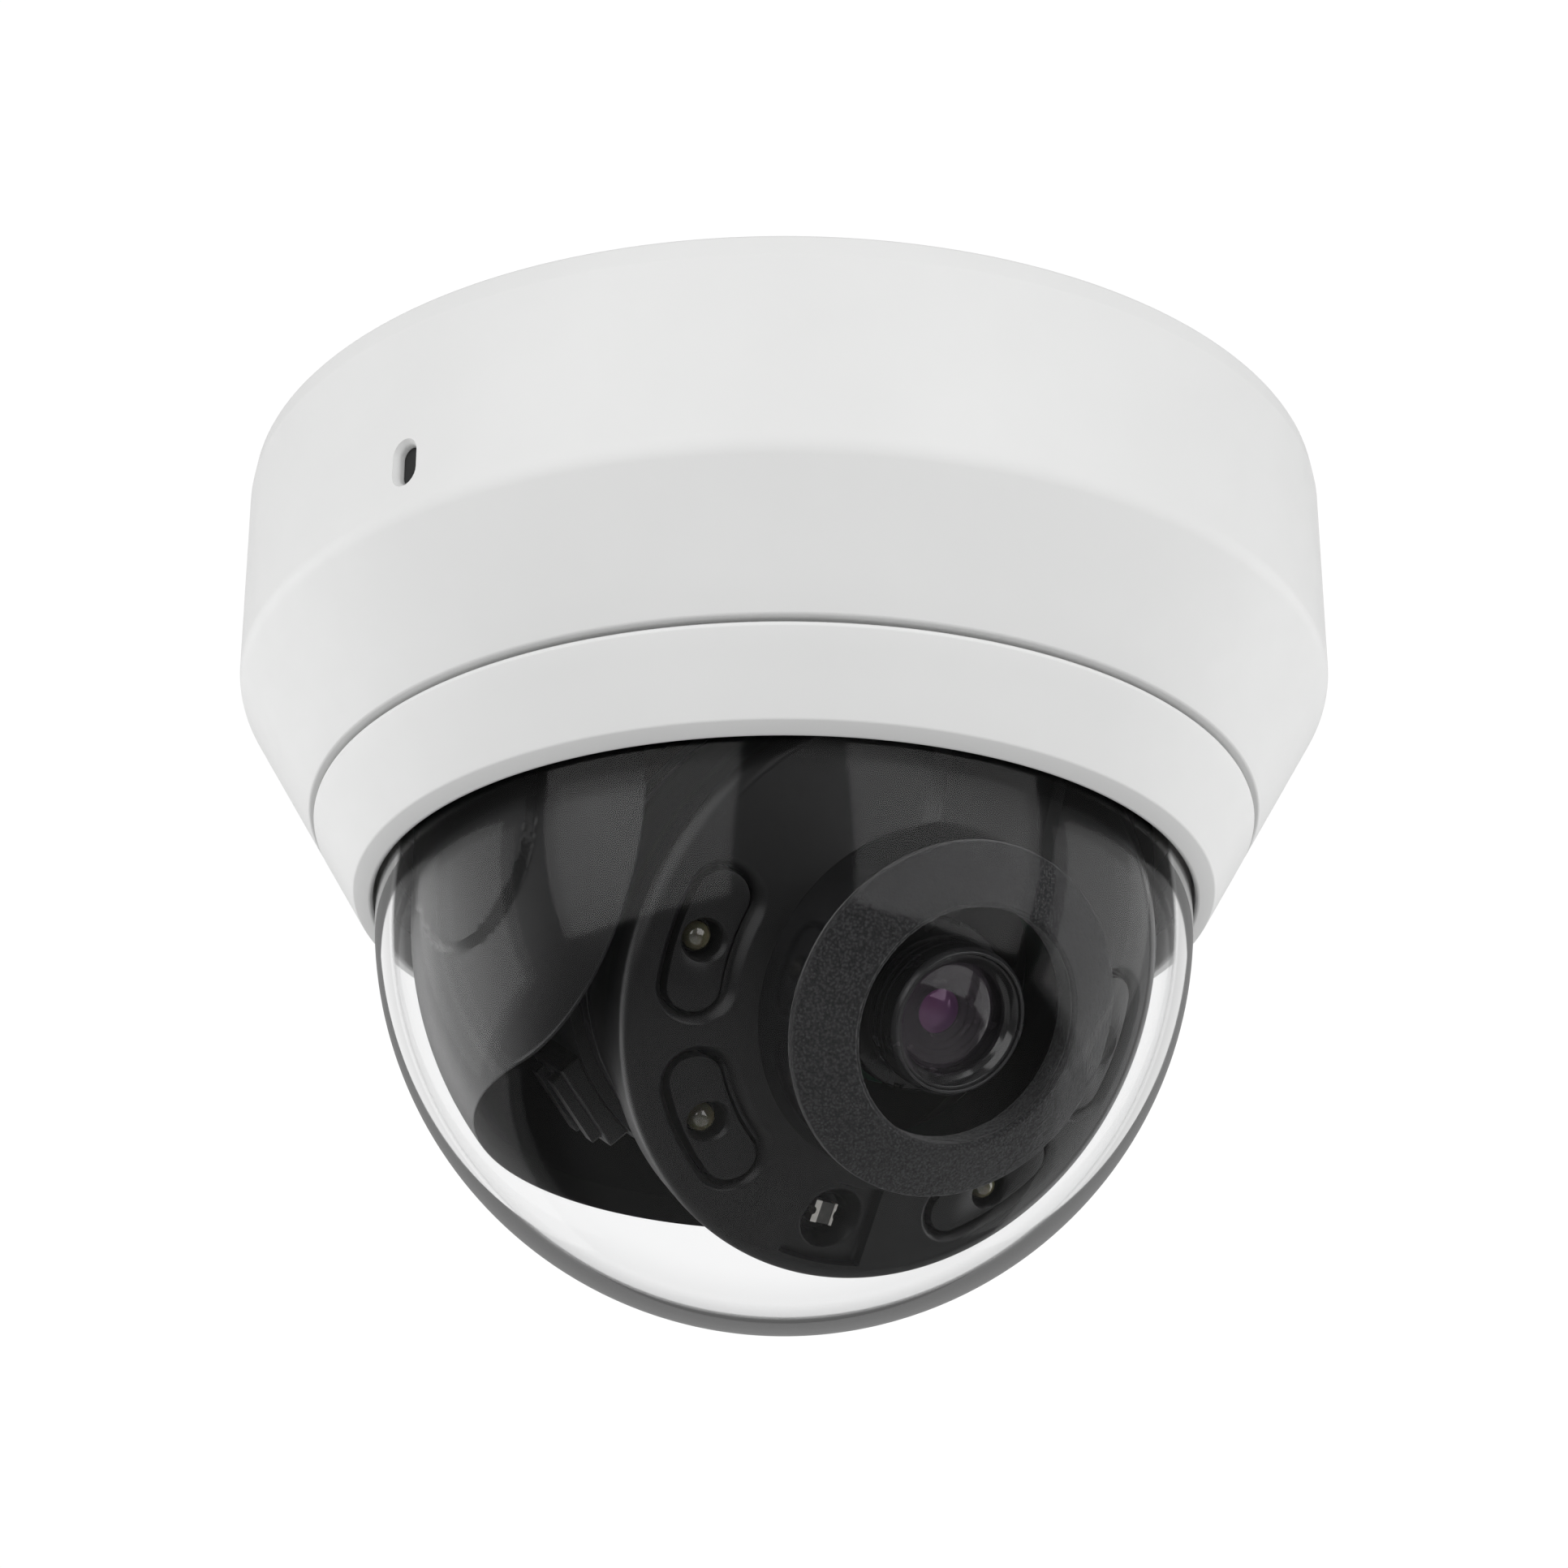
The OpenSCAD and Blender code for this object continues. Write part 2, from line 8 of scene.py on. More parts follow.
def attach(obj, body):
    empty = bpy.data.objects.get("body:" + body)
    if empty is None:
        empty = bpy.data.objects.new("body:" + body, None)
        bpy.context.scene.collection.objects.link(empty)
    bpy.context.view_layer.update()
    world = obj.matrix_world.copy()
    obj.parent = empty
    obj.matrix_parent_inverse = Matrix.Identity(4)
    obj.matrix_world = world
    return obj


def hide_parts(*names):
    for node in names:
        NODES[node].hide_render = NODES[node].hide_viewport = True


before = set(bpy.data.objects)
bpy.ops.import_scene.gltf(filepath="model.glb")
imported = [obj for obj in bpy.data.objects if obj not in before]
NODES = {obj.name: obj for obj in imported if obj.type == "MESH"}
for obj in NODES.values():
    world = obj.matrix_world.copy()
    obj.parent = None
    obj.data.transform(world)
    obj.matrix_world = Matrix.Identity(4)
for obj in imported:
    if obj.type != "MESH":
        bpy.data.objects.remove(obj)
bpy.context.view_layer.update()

MM = 0.001
OZ = -50.8
PAN = math.radians(34.5)
TILT = math.radians(34.5)
PAN_M = Matrix.Translation((0, 0, OZ)) @ Matrix.Rotation(PAN, 4, "Z")
BALL_M = PAN_M @ Matrix.Rotation(TILT + math.pi / 2, 4, "X")
IDENT = Matrix.Identity(4)

# ------------------------------------------------------------------ materials
MATS = {}


def sock(node, name):
    return node.inputs[name]


def material(name, base, rough, metal=0.0, spec=0.5, var=0.06, var_scale=120.0, grain=0.0,
             grain_scale=4000.0, grain_dist=0.00003, rough_var=0.06, rough_scale=350.0, wear=0.0,
             wear_col=None, coat=0.0, coat_rough=0.2, sheen=0.0, streak=0.0, spots=0.0):
    """A moulded, painted or machined finish: slow colour drift, fine grain in the bump, uneven gloss,
    and lighter edges where it is handled."""
    m = bpy.data.materials.new(name)
    m.use_nodes = True
    nt = m.node_tree
    n, l = nt.nodes, nt.links
    b = n["Principled BSDF"]
    b.inputs["Metallic"].default_value = metal
    b.inputs["Specular IOR Level"].default_value = spec
    b.inputs["Coat Weight"].default_value = coat
    b.inputs["Coat Roughness"].default_value = coat_rough
    b.inputs["Sheen Weight"].default_value = sheen
    tc = n.new("ShaderNodeTexCoord")
    mp = n.new("ShaderNodeMapping")
    l.new(tc.outputs["Object"], mp.inputs["Vector"])
    if streak:
        mp.inputs["Scale"].default_value = (1.0, 1.0, streak)
    drift = n.new("ShaderNodeTexNoise")
    drift.inputs["Scale"].default_value = var_scale
    drift.inputs["Detail"].default_value = 4
    l.new(mp.outputs[0], drift.inputs["Vector"])
    ramp = n.new("ShaderNodeValToRGB")
    lo = [max(0.0, c * (1 - var)) for c in base] + [1]
    hi = [min(1.0, c * (1 + var)) for c in base] + [1]
    ramp.color_ramp.elements[0].position = 0.3
    ramp.color_ramp.elements[1].position = 0.7
    ramp.color_ramp.elements[0].color = lo
    ramp.color_ramp.elements[1].color = hi
    l.new(drift.outputs["Fac"], ramp.inputs["Fac"])
    colour = ramp.outputs["Color"]
    if spots:
        sp = n.new("ShaderNodeTexVoronoi")
        sp.inputs["Scale"].default_value = spots
        l.new(mp.outputs[0], sp.inputs["Vector"])
        sr = n.new("ShaderNodeValToRGB")
        sr.color_ramp.elements[0].position = 0.15
        sr.color_ramp.elements[0].color = [min(1, c * 2.1 + 0.012) for c in base] + [1]
        sr.color_ramp.elements[1].position = 0.6
        sr.color_ramp.elements[1].color = [c * 0.45 for c in base] + [1]
        l.new(sp.outputs["Distance"], sr.inputs["Fac"])
        mx = n.new("ShaderNodeMixRGB")
        mx.inputs["Fac"].default_value = 0.65
        l.new(colour, mx.inputs["Color1"])
        l.new(sr.outputs["Color"], mx.inputs["Color2"])
        colour = mx.outputs["Color"]
    if wear:
        geo = n.new("ShaderNodeNewGeometry")
        wr = n.new("ShaderNodeValToRGB")
        wr.color_ramp.elements[0].position = 0.53
        wr.color_ramp.elements[0].color = (0, 0, 0, 1)
        wr.color_ramp.elements[1].position = 0.62
        wr.color_ramp.elements[1].color = (wear, wear, wear, 1)
        l.new(geo.outputs["Pointiness"], wr.inputs["Fac"])
        mx2 = n.new("ShaderNodeMixRGB")
        mx2.inputs["Color2"].default_value = list(wear_col or [min(1, c * 1.8 + 0.03) for c in base]) + [1]
        l.new(wr.outputs["Color"], mx2.inputs["Fac"])
        l.new(colour, mx2.inputs["Color1"])
        colour = mx2.outputs["Color"]
    l.new(colour, b.inputs["Base Color"])
    rn = n.new("ShaderNodeTexNoise")
    rn.inputs["Scale"].default_value = rough_scale
    rn.inputs["Detail"].default_value = 3
    l.new(mp.outputs[0], rn.inputs["Vector"])
    mr = n.new("ShaderNodeMapRange")
    mr.inputs["From Min"].default_value = 0.3
    mr.inputs["From Max"].default_value = 0.7
    mr.inputs["To Min"].default_value = max(0.02, rough - rough_var)
    mr.inputs["To Max"].default_value = min(1.0, rough + rough_var)
    l.new(rn.outputs["Fac"], mr.inputs["Value"])
    l.new(mr.outputs[0], b.inputs["Roughness"])
    if grain:
        gn = n.new("ShaderNodeTexNoise")
        gn.inputs["Scale"].default_value = grain_scale
        gn.inputs["Detail"].default_value = 2
        l.new(mp.outputs[0], gn.inputs["Vector"])
        bp = n.new("ShaderNodeBump")
        bp.inputs["Strength"].default_value = grain
        bp.inputs["Distance"].default_value = grain_dist
        l.new(gn.outputs["Fac"], bp.inputs["Height"])
        l.new(bp.outputs["Normal"], b.inputs["Normal"])
    MATS[name] = m
    return m


white_shell = material("shell_white", (0.80, 0.802, 0.798), 0.46, var=0.012, var_scale=60, grain=0.22,
                       grain_scale=2600, grain_dist=0.000022, rough_var=0.04, spec=0.35)
white_base = material("base_white", (0.66, 0.66, 0.64), 0.55, var=0.03, grain=0.5, grain_scale=3000, spec=0.4)
black_plastic = material("black_moulded", (0.007, 0.007, 0.0075), 0.42, var=0.15, grain=0.12, grain_scale=2600,
                         grain_dist=0.000010, rough_var=0.04, spec=0.38)
face_black = material("black_satin", (0.0045, 0.0045, 0.0048), 0.33, var=0.10, var_scale=160, rough_var=0.02, rough_scale=120,
                      spec=0.23)
gloss_black = material("black_gloss", (0.006, 0.006, 0.0064), 0.12, var=0.10, grain=0.04, grain_scale=1500,
                       grain_dist=0.000006, rough_var=0.02, rough_scale=120, spec=0.5)
shroud_black = material("black_shroud", (0.0036, 0.0036, 0.0039), 0.34, var=0.10, var_scale=90, rough_var=0.025, rough_scale=120,
                        spec=0.23)
rubber = material("rubber_black", (0.018, 0.018, 0.018), 0.78, var=0.2, grain=0.6, grain_scale=2600, rough_var=0.08, spec=0.3)
foam_mat = material("foam_cells", (0.0205, 0.0205, 0.0215), 0.92, var=0.22, var_scale=900, grain=0.8, grain_scale=4200,
                    grain_dist=0.00009, rough_var=0.05, spots=3400, sheen=0.15, spec=0.15)
steel = material("steel_zinc", (0.55, 0.55, 0.56), 0.30, metal=1.0, var=0.10, var_scale=400, grain=0.5, grain_scale=6000,
                 grain_dist=0.00001, rough_var=0.10, streak=0.15)
nylon = material("nylon", (0.58, 0.56, 0.50), 0.42, var=0.05, grain=0.3, grain_scale=3000)
pcb = material("board_green", (0.020, 0.135, 0.070), 0.34, var=0.25, var_scale=700, grain=0.5, grain_scale=1500,
               grain_dist=0.00004, rough_var=0.08)
pcb_black = material("board_black", (0.012, 0.012, 0.014), 0.38, var=0.3, var_scale=700, grain=0.5, grain_scale=1500)
chip_mat = material("chip_epoxy", (0.035, 0.035, 0.038), 0.55, var=0.15, grain=0.5, grain_scale=5000)
green_plastic = material("terminal_green", (0.04, 0.20, 0.09), 0.42, var=0.08, grain=0.3, grain_scale=3500)
heat_metal = material("spreader_aluminium", (0.60, 0.61, 0.63), 0.34, metal=1.0, var=0.06, grain=0.5, grain_scale=2600,
                      rough_var=0.10, streak=0.1)
black_metal = material("barrel_black", (0.018, 0.018, 0.019), 0.24, metal=0.25, var=0.15, grain=0.25, grain_scale=5000,
                       grain_dist=0.00001, rough_var=0.05, spec=0.5)
pale_metal = material("terminal_tin", (0.66, 0.64, 0.60), 0.33, metal=1.0, var=0.1, var_scale=1500, grain=0.5, grain_scale=6000)
sensor_body = material("sensor_epoxy", (0.055, 0.054, 0.050), 0.30, var=0.25, var_scale=1500, grain=0.3, grain_scale=5000)


def clear_dome_material(name, stops, tint, gloss):
    """Clear moulded plastic: see-through face on, and darker where the wall is seen edge on; that darkening is painted
    shade from a dim gloss colour, standing in for refraction at the outline.
    """
    m = bpy.data.materials.new(name)
    m.use_nodes = True
    nt = m.node_tree
    n, l = nt.nodes, nt.links
    for x in list(n):
        n.remove(x)
    out = n.new("ShaderNodeOutputMaterial")
    tr = n.new("ShaderNodeBsdfTransparent")
    tr.inputs["Color"].default_value = tint
    gl = n.new("ShaderNodeBsdfPrincipled")
    gl.inputs["IOR"].default_value = 1.49
    gl.inputs["Metallic"].default_value = 1.0
    lw = n.new("ShaderNodeLayerWeight")
    lw.inputs["Blend"].default_value = 0.5
    ramp = n.new("ShaderNodeValToRGB")
    els = ramp.color_ramp.elements
    els[0].position, els[1].position = stops[0][0], stops[-1][0]
    els[0].color = [stops[0][1]] * 3 + [1]
    els[1].color = [stops[-1][1]] * 3 + [1]
    for p, v in stops[1:-1]:
        e = els.new(p)
        e.color = (v, v, v, 1)
    l.new(lw.outputs["Facing"], ramp.inputs["Fac"])
    # gloss colour by facing: where it falls towards the edge it paints shade along the outline
    gr = n.new("ShaderNodeValToRGB")
    ge = gr.color_ramp.elements
    ge[0].position, ge[1].position = gloss[0][0], gloss[-1][0]
    ge[0].color = [gloss[0][1]] * 3 + [1]
    ge[1].color = [gloss[-1][1]] * 3 + [1]
    for p, v in gloss[1:-1]:
        e = ge.new(p)
        e.color = (v, v, v, 1)
    l.new(lw.outputs["Facing"], gr.inputs["Fac"])
    l.new(gr.outputs["Color"], gl.inputs["Base Color"])
    tc = n.new("ShaderNodeTexCoord")
    ns = n.new("ShaderNodeTexNoise")
    ns.inputs["Scale"].default_value = 90
    ns.inputs["Detail"].default_value = 5
    l.new(tc.outputs["Object"], ns.inputs["Vector"])
    mr = n.new("ShaderNodeMapRange")
    mr.inputs["From Min"].default_value = 0.3
    mr.inputs["From Max"].default_value = 0.7
    mr.inputs["To Min"].default_value = 0.04
    mr.inputs["To Max"].default_value = 0.09
    l.new(ns.outputs["Fac"], mr.inputs["Value"])
    l.new(mr.outputs[0], gl.inputs["Roughness"])
    mx = n.new("ShaderNodeMixShader")
    l.new(ramp.outputs["Color"], mx.inputs["Fac"])
    l.new(tr.outputs[0], mx.inputs[1])
    l.new(gl.outputs[0], mx.inputs[2])
    l.new(mx.outputs[0], out.inputs["Surface"])
    MATS[name] = m
    return m


# painted shade: both dome materials darken towards the outline in place of refraction, the outer one by a gloss colour
# falling to 0.25
dome_mat = clear_dome_material(
    "dome_clear", ((0.0, 0.012), (0.45, 0.020), (0.62, 0.05), (0.695, 0.12), (0.725, 0.93), (1.0, 0.97)),
    (0.985, 0.986, 0.987, 1), ((0.0, 0.8), (0.70, 0.7), (0.74, 0.40), (0.86, 0.37), (0.885, 0.29), (1.0, 0.25)))
dome_in_mat = clear_dome_material(
    "dome_clear_inside", ((0.0, 0.004), (0.55, 0.012), (0.75, 0.05), (0.90, 0.14), (1.0, 0.45)),
    (0.99, 0.99, 0.99, 1), ((0.0, 0.8), (1.0, 0.8)))


def lens_material(name, inner, outer, rough=0.03, alpha_centre=0.55, alpha_edge=0.9, coat=1.0):
    """Coated optical glass: a dark well with a coloured reflection that drifts from centre to rim."""
    m = bpy.data.materials.new(name)
    m.use_nodes = True
    nt = m.node_tree
    n, l = nt.nodes, nt.links
    b = n["Principled BSDF"]
    b.inputs["Metallic"].default_value = 0.0
    b.inputs["IOR"].default_value = 1.6
    b.inputs["Coat Weight"].default_value = coat
    b.inputs["Coat Roughness"].default_value = 0.03
    lw = n.new("ShaderNodeLayerWeight")
    lw.inputs["Blend"].default_value = 0.45
    ramp = n.new("ShaderNodeValToRGB")
    ramp.color_ramp.elements[0].color = list(inner) + [1]
    ramp.color_ramp.elements[1].color = list(outer) + [1]
    ramp.color_ramp.elements[1].position = 0.75
    l.new(lw.outputs["Facing"], ramp.inputs["Fac"])
    tc = n.new("ShaderNodeTexCoord")
    ns = n.new("ShaderNodeTexNoise")
    ns.inputs["Scale"].default_value = 900
    l.new(tc.outputs["Object"], ns.inputs["Vector"])
    mix = n.new("ShaderNodeMixRGB")
    mix.blend_type = "MULTIPLY"
    mix.inputs["Fac"].default_value = 0.12
    l.new(ramp.outputs["Color"], mix.inputs["Color1"])
    l.new(ns.outputs["Color"], mix.inputs["Color2"])
    l.new(mix.outputs["Color"], b.inputs["Base Color"])
    mr = n.new("ShaderNodeMapRange")
    mr.inputs["To Min"].default_value = rough * 0.6
    mr.inputs["To Max"].default_value = rough * 1.6
    l.new(ns.outputs["Fac"], mr.inputs["Value"])
    l.new(mr.outputs[0], b.inputs["Roughness"])
    MATS[name] = m
    return m


lens_front_mat = clear_dome_material(
    "lens_coated", ((0.0, 0.035), (0.30, 0.05), (0.60, 0.12), (0.85, 0.30), (1.0, 0.8)),
    (0.86, 0.80, 0.86, 1), ((0.0, 0.55), (0.5, 0.6), (1.0, 0.8)))
lens_inner_mat = lens_material("lens_inner", (0.16, 0.03, 0.14), (0.05, 0.02, 0.10))
lens_plain_mat = lens_material("lens_plain", (0.10, 0.10, 0.12), (0.20, 0.20, 0.24))
filter_mat = lens_material("filter_glass", (0.04, 0.09, 0.12), (0.10, 0.20, 0.26))


def led_material():
    m = bpy.data.materials.new("led_dome")
    m.use_nodes = True
    nt = m.node_tree
    n, l = nt.nodes, nt.links
    b = n["Principled BSDF"]
    b.inputs["IOR"].default_value = 1.5
    b.inputs["Coat Weight"].default_value = 1.0
    b.inputs["Coat Roughness"].default_value = 0.05
    b.inputs["Subsurface Weight"].default_value = 0.0
    tc = n.new("ShaderNodeTexCoord")
    ns = n.new("ShaderNodeTexNoise")
    ns.inputs["Scale"].default_value = 1500
    ns.inputs["Detail"].default_value = 3
    l.new(tc.outputs["Object"], ns.inputs["Vector"])
    # painted sheen: the base colour is dark face on and lighter, yellower towards each dome's edge, by the facing ramp
    lw = n.new("ShaderNodeLayerWeight")
    lw.inputs["Blend"].default_value = 0.4
    ramp = n.new("ShaderNodeValToRGB")
    ramp.color_ramp.elements[0].color = (0.040, 0.038, 0.024, 1)
    ramp.color_ramp.elements[1].color = (0.20, 0.18, 0.105, 1)
    ramp.color_ramp.elements[1].position = 0.8
    l.new(lw.outputs["Facing"], ramp.inputs["Fac"])
    mix = n.new("ShaderNodeMixRGB")
    mix.blend_type = "MULTIPLY"
    mix.inputs["Fac"].default_value = 0.35
    l.new(ramp.outputs["Color"], mix.inputs["Color1"])
    l.new(ns.outputs["Color"], mix.inputs["Color2"])
    l.new(mix.outputs["Color"], b.inputs["Base Color"])
    mr = n.new("ShaderNodeMapRange")
    mr.inputs["To Min"].default_value = 0.05
    mr.inputs["To Max"].default_value = 0.18
    l.new(ns.outputs["Fac"], mr.inputs["Value"])
    l.new(mr.outputs[0], b.inputs["Roughness"])
    MATS["led_dome"] = m
    return m


led_mat = led_material()

# --------------------------------------------------------------- mesh helpers


def make(name, verts, faces, matrix, mat, sharp=None):
    """verts in millimetres in the local frame of `matrix`; the mesh is written in metres in the row frame."""
    v = np.asarray(verts, float)
    m3 = np.array(matrix.to_3x3())
    t = np.array(matrix.translation)
    w = (v @ m3.T + t) * MM
    me = bpy.data.meshes.new(name)
    me.from_pydata(w.tolist(), [], faces)
    me.validate()
    me.update()
    ob = bpy.data.objects.new(name, me)
    bpy.context.scene.collection.objects.link(ob)
    bm = bmesh.new()
    bm.from_mesh(me)
    bmesh.ops.recalc_face_normals(bm, faces=bm.faces)
    bm.to_mesh(me)
    bm.free()
    for p in me.polygons:
        p.use_smooth = True
    if sharp is not None:
        me.set_sharp_from_angle(angle=math.radians(sharp))
    me.materials.append(mat)
    return ob


def grid_faces(rows, cols, wrap, closed_rows=False, base=0):
    f = []
    rr = rows if closed_rows else rows - 1
    cc = cols if wrap else cols - 1
    for i in range(rr):
        i2 = (i + 1) % rows
        for j in range(cc):
            j2 = (j + 1) % cols
            f.append((base + i * cols + j, base + i * cols + j2, base + i2 * cols + j2, base + i2 * cols + j))
    return f


def revolve_data(profile, segs):
    """profile: list of (r, z). A closed ring if neither end is on the axis, capped at the axis otherwise."""
    verts, faces = [], []
    ang = np.linspace(0, 2 * math.pi, segs, endpoint=False)
    on_axis0 = profile[0][0] < 1e-9
    on_axis1 = profile[-1][0] < 1e-9
    core = profile[1 if on_axis0 else 0: len(profile) - (1 if on_axis1 else 0)]
    for r, z in core:
        for a in ang:
            verts.append((r * math.cos(a), r * math.sin(a), z))
    rows = len(core)
    faces += grid_faces(rows, segs, True, closed_rows=not (on_axis0 or on_axis1))
    if on_axis0:
        verts.append((0, 0, profile[0][1]))
        c = len(verts) - 1
        for j in range(segs):
            faces.append((c, j, (j + 1) % segs))
    if on_axis1:
        verts.append((0, 0, profile[-1][1]))
        c = len(verts) - 1
        b = (rows - 1) * segs
        for j in range(segs):
            faces.append((b + j, c, b + (j + 1) % segs))
    return verts, faces


def fil(p0, p1, p2, r, n=6):
    """A rounded corner at p1."""
    p0, p1, p2 = map(lambda q: np.array(q, float), (p0, p1, p2))
    u = (p0 - p1) / np.linalg.norm(p0 - p1)
    v = (p2 - p1) / np.linalg.norm(p2 - p1)
    h = math.acos(max(-1, min(1, float(u @ v)))) / 2
    w = (u + v) / np.linalg.norm(u + v)
    c = p1 + w * r / math.sin(h)
    a = p1 + u * r / math.tan(h)
    b = p1 + v * r / math.tan(h)
    out = []
    for i in range(n + 1):
        f = i / n
        d = (a - c) * (1 - f) + (b - c) * f
        d /= np.linalg.norm(d)
        out.append(tuple(c + d * r))
    return out


def round_loop(pts, radii, n=5):
    """Rounds the corners of a closed polygon; radius 0 keeps the corner."""
    out = []
    k = len(pts)
    for i in range(k):
        r = radii[i] if isinstance(radii, (list, tuple)) else radii
        if r <= 0:
            out.append(tuple(pts[i]))
        else:
            out += fil(pts[i - 1], pts[i], pts[(i + 1) % k], r, n)
    return out


def merge_data(parts):
    verts, faces = [], []
    for v, f in parts:
        b = len(verts)
        verts += [tuple(x) for x in v]
        faces += [tuple(b + i for i in q) for q in f]
    return verts, faces


def put(v, m):
    a = np.asarray(v, float)
    return (a @ np.array(m.to_3x3()).T + np.array(m.translation)).tolist()


def prism_data(loop, z0, z1):
    """A closed prism over a 2D loop, its caps as single faces."""
    n = len(loop)
    verts = [(x, y, z0) for x, y in loop] + [(x, y, z1) for x, y in loop]
    faces = [tuple(range(n - 1, -1, -1)), tuple(range(n, 2 * n))]
    for i in range(n):
        j = (i + 1) % n
        faces.append((i, j, n + j, n + i))
    return verts, faces


def loft(loops, cap0=True, cap1=True):
    n = len(loops[0])
    verts = [p for lp in loops for p in lp]
    faces = []
    for k in range(len(loops) - 1):
        for i in range(n):
            j = (i + 1) % n
            faces.append((k * n + i, k * n + j, (k + 1) * n + j, (k + 1) * n + i))
    if cap0:
        faces.append(tuple(range(n - 1, -1, -1)))
    if cap1:
        b = (len(loops) - 1) * n
        faces.append(tuple(range(b, b + n)))
    return verts, faces


def stadium(w, h, n=12):
    r = w / 2
    d = (h - w) / 2
    pts = []
    for i in range(n + 1):
        a = math.pi * i / n
        pts.append((r * math.cos(a), d + r * math.sin(a)))
    for i in range(n + 1):
        a = math.pi + math.pi * i / n
        pts.append((r * math.cos(a), -d + r * math.sin(a)))
    return pts


def piece(ob, body, slot, *nodes):
    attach(ob, body)
    if nodes:
        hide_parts(*nodes)
    return ob


def boolean(ob, cutter_data, matrix):
    v, f = cutter_data
    cut = make("cutter_tmp", v, f, matrix, list(MATS.values())[0])
    md = ob.modifiers.new("cut", "BOOLEAN")
    md.operation = "DIFFERENCE"
    md.solver = "EXACT"
    md.object = cut
    bpy.context.view_layer.update()
    dg = bpy.context.evaluated_depsgraph_get()
    me = bpy.data.meshes.new_from_object(ob.evaluated_get(dg))
    ob.modifiers.clear()
    old = ob.data
    ob.data = me
    me.name = old.name
    bpy.data.meshes.remove(old)
    bpy.data.objects.remove(cut)
    return ob


# ------------------------------------------------------------- upper housing
BODY_R, WALL_H, CONE_K = 59.972, 24.4, 0.5585
WALL_IN = BODY_R - 2.8
SEAM_Z = -39.13
SPIG = 48.64
FOOT = [75, 180, 285]
LUGS = [60, 180, 300]
LATCH_A, LATCH_Z = 229.6, -18.7


def cone_at(z):
    return BODY_R - (-z - WALL_H) * CONE_K


prof = [(WALL_IN + 0.25, -0.0)]
prof += fil((WALL_IN, 0), (BODY_R - 0.58, 0), (BODY_R - 0.2, -2.5), 0.55, 6)
prof += [(BODY_R - 0.33, -1.55), (BODY_R - 0.22, -2.2)]
prof += fil((BODY_R - 0.22, -2.2), (BODY_R - 0.17, -2.55), (BODY_R - 0.16, -3.2), 0.3, 3)
prof += fil((BODY_R - 0.16, -3.2), (BODY_R, -WALL_H), (cone_at(SEAM_Z), SEAM_Z), 4.2, 14)
for zz in (-28.5, -32.0, -35.5):
    prof.append((cone_at(zz), zz))
prof += fil((BODY_R, -WALL_H), (cone_at(SEAM_Z), SEAM_Z), (SPIG + 0.06, SEAM_Z), 0.42, 6)
prof += [(SPIG + 0.25, SEAM_Z), (SPIG + 0.06, SEAM_Z + 0.2), (SPIG + 0.06, -36.9), (cone_at(-36.9) - 2.84, -36.9),
         (WALL_IN, -WALL_H - 0.05), (WALL_IN, -12.0), (WALL_IN, -0.25)]
hv, hf = revolve_data(prof, 288)
parts = [(hv, hf)]
housing = make("housing_shell", hv, hf, IDENT, white_shell)

# the tool slot: a bevelled mouth, then a straight blind way in
slot_m = Matrix.Rotation(math.radians(LATCH_A), 4, "Z") @ Matrix.Translation((0, 0, LATCH_Z)) @ \
    Matrix(((0, 0, 1, 0), (1, 0, 0, 0), (0, 1, 0, 0), (0, 0, 0, 1)))
loops = []
for w, h, x in ((3.9, 5.9, 61.2), (3.55, 5.55, 60.02), (3.1, 5.1, 59.62), (2.72, 4.72, 59.40), (2.5, 4.5, 59.10), (2.5, 4.5, 56.2)):
    loops.append([(a, b, x) for a, b in stadium(w, h)])
boolean(housing, loft(loops), slot_m)
# the ways in for the cover's three lugs, under the seam
for a in LUGS:
    arc = []
    for i in range(13):
        t = math.radians(a + 25 - 12 + 2 * i)
        arc.append(t)
    lp = [(47.6 * math.cos(t), 47.6 * math.sin(t)) for t in arc] + [(50.15 * math.cos(t), 50.15 * math.sin(t)) for t in reversed(arc)]
    boolean(housing, prism_data(lp, -39.3, -36.7), IDENT)
extra = []
for a in FOOT:
    rot = Matrix.Rotation(math.radians(a), 4, "Z")
    ring = [(51 + 4 * math.cos(t), 4 * math.sin(t)) for t in np.linspace(math.pi / 2, 3 * math.pi / 2, 20)] + [(57.9, -4.0), (57.9, 4.0)]
    lp = round_loop([(51, 4), (51, 4)], 0) if False else ring
    hole = [(51 + 1.7 * math.cos(t), 1.7 * math.sin(t)) for t in np.linspace(0, 2 * math.pi, 22, endpoint=False)]
    # ring-shaped foot: the outline and the hole meet face to face, bridged point by point
    lp2 = ring
    v = []
    n2 = len(lp2)
    hole = []
    for i, (x, y) in enumerate(lp2):
        t = math.atan2(y, x - 51)
        hole.append((51 + 1.7 * math.cos(t), 1.7 * math.sin(t)))
    v = [(x, y, -11.5) for x, y in lp2] + [(x, y, -9.0) for x, y in lp2] + \
        [(x, y, -9.0) for x, y in hole] + [(x, y, -11.5) for x, y in hole]
    f = []
    for k in range(4):
        k2 = (k + 1) % 4
        for i in range(n2):
            j = (i + 1) % n2
            f.append((k * n2 + i, k * n2 + j, k2 * n2 + j, k2 * n2 + i))
    extra.append((put(v, rot), f))
rot = Matrix.Rotation(math.radians(LATCH_A), 4, "Z")
for s in (-1, 1):
    y0 = s * 3.9 - 0.8
    lp = round_loop([(50.5, y0), (57.6, y0), (57.6, y0 + 1.6), (50.5, y0 + 1.6)], [0.3, 0, 0, 0.3], 3)
    v, f = prism_data(lp, LATCH_Z - 5, LATCH_Z + 5)
    extra.append((put(v, rot), f))
ev, ef = merge_data(extra)
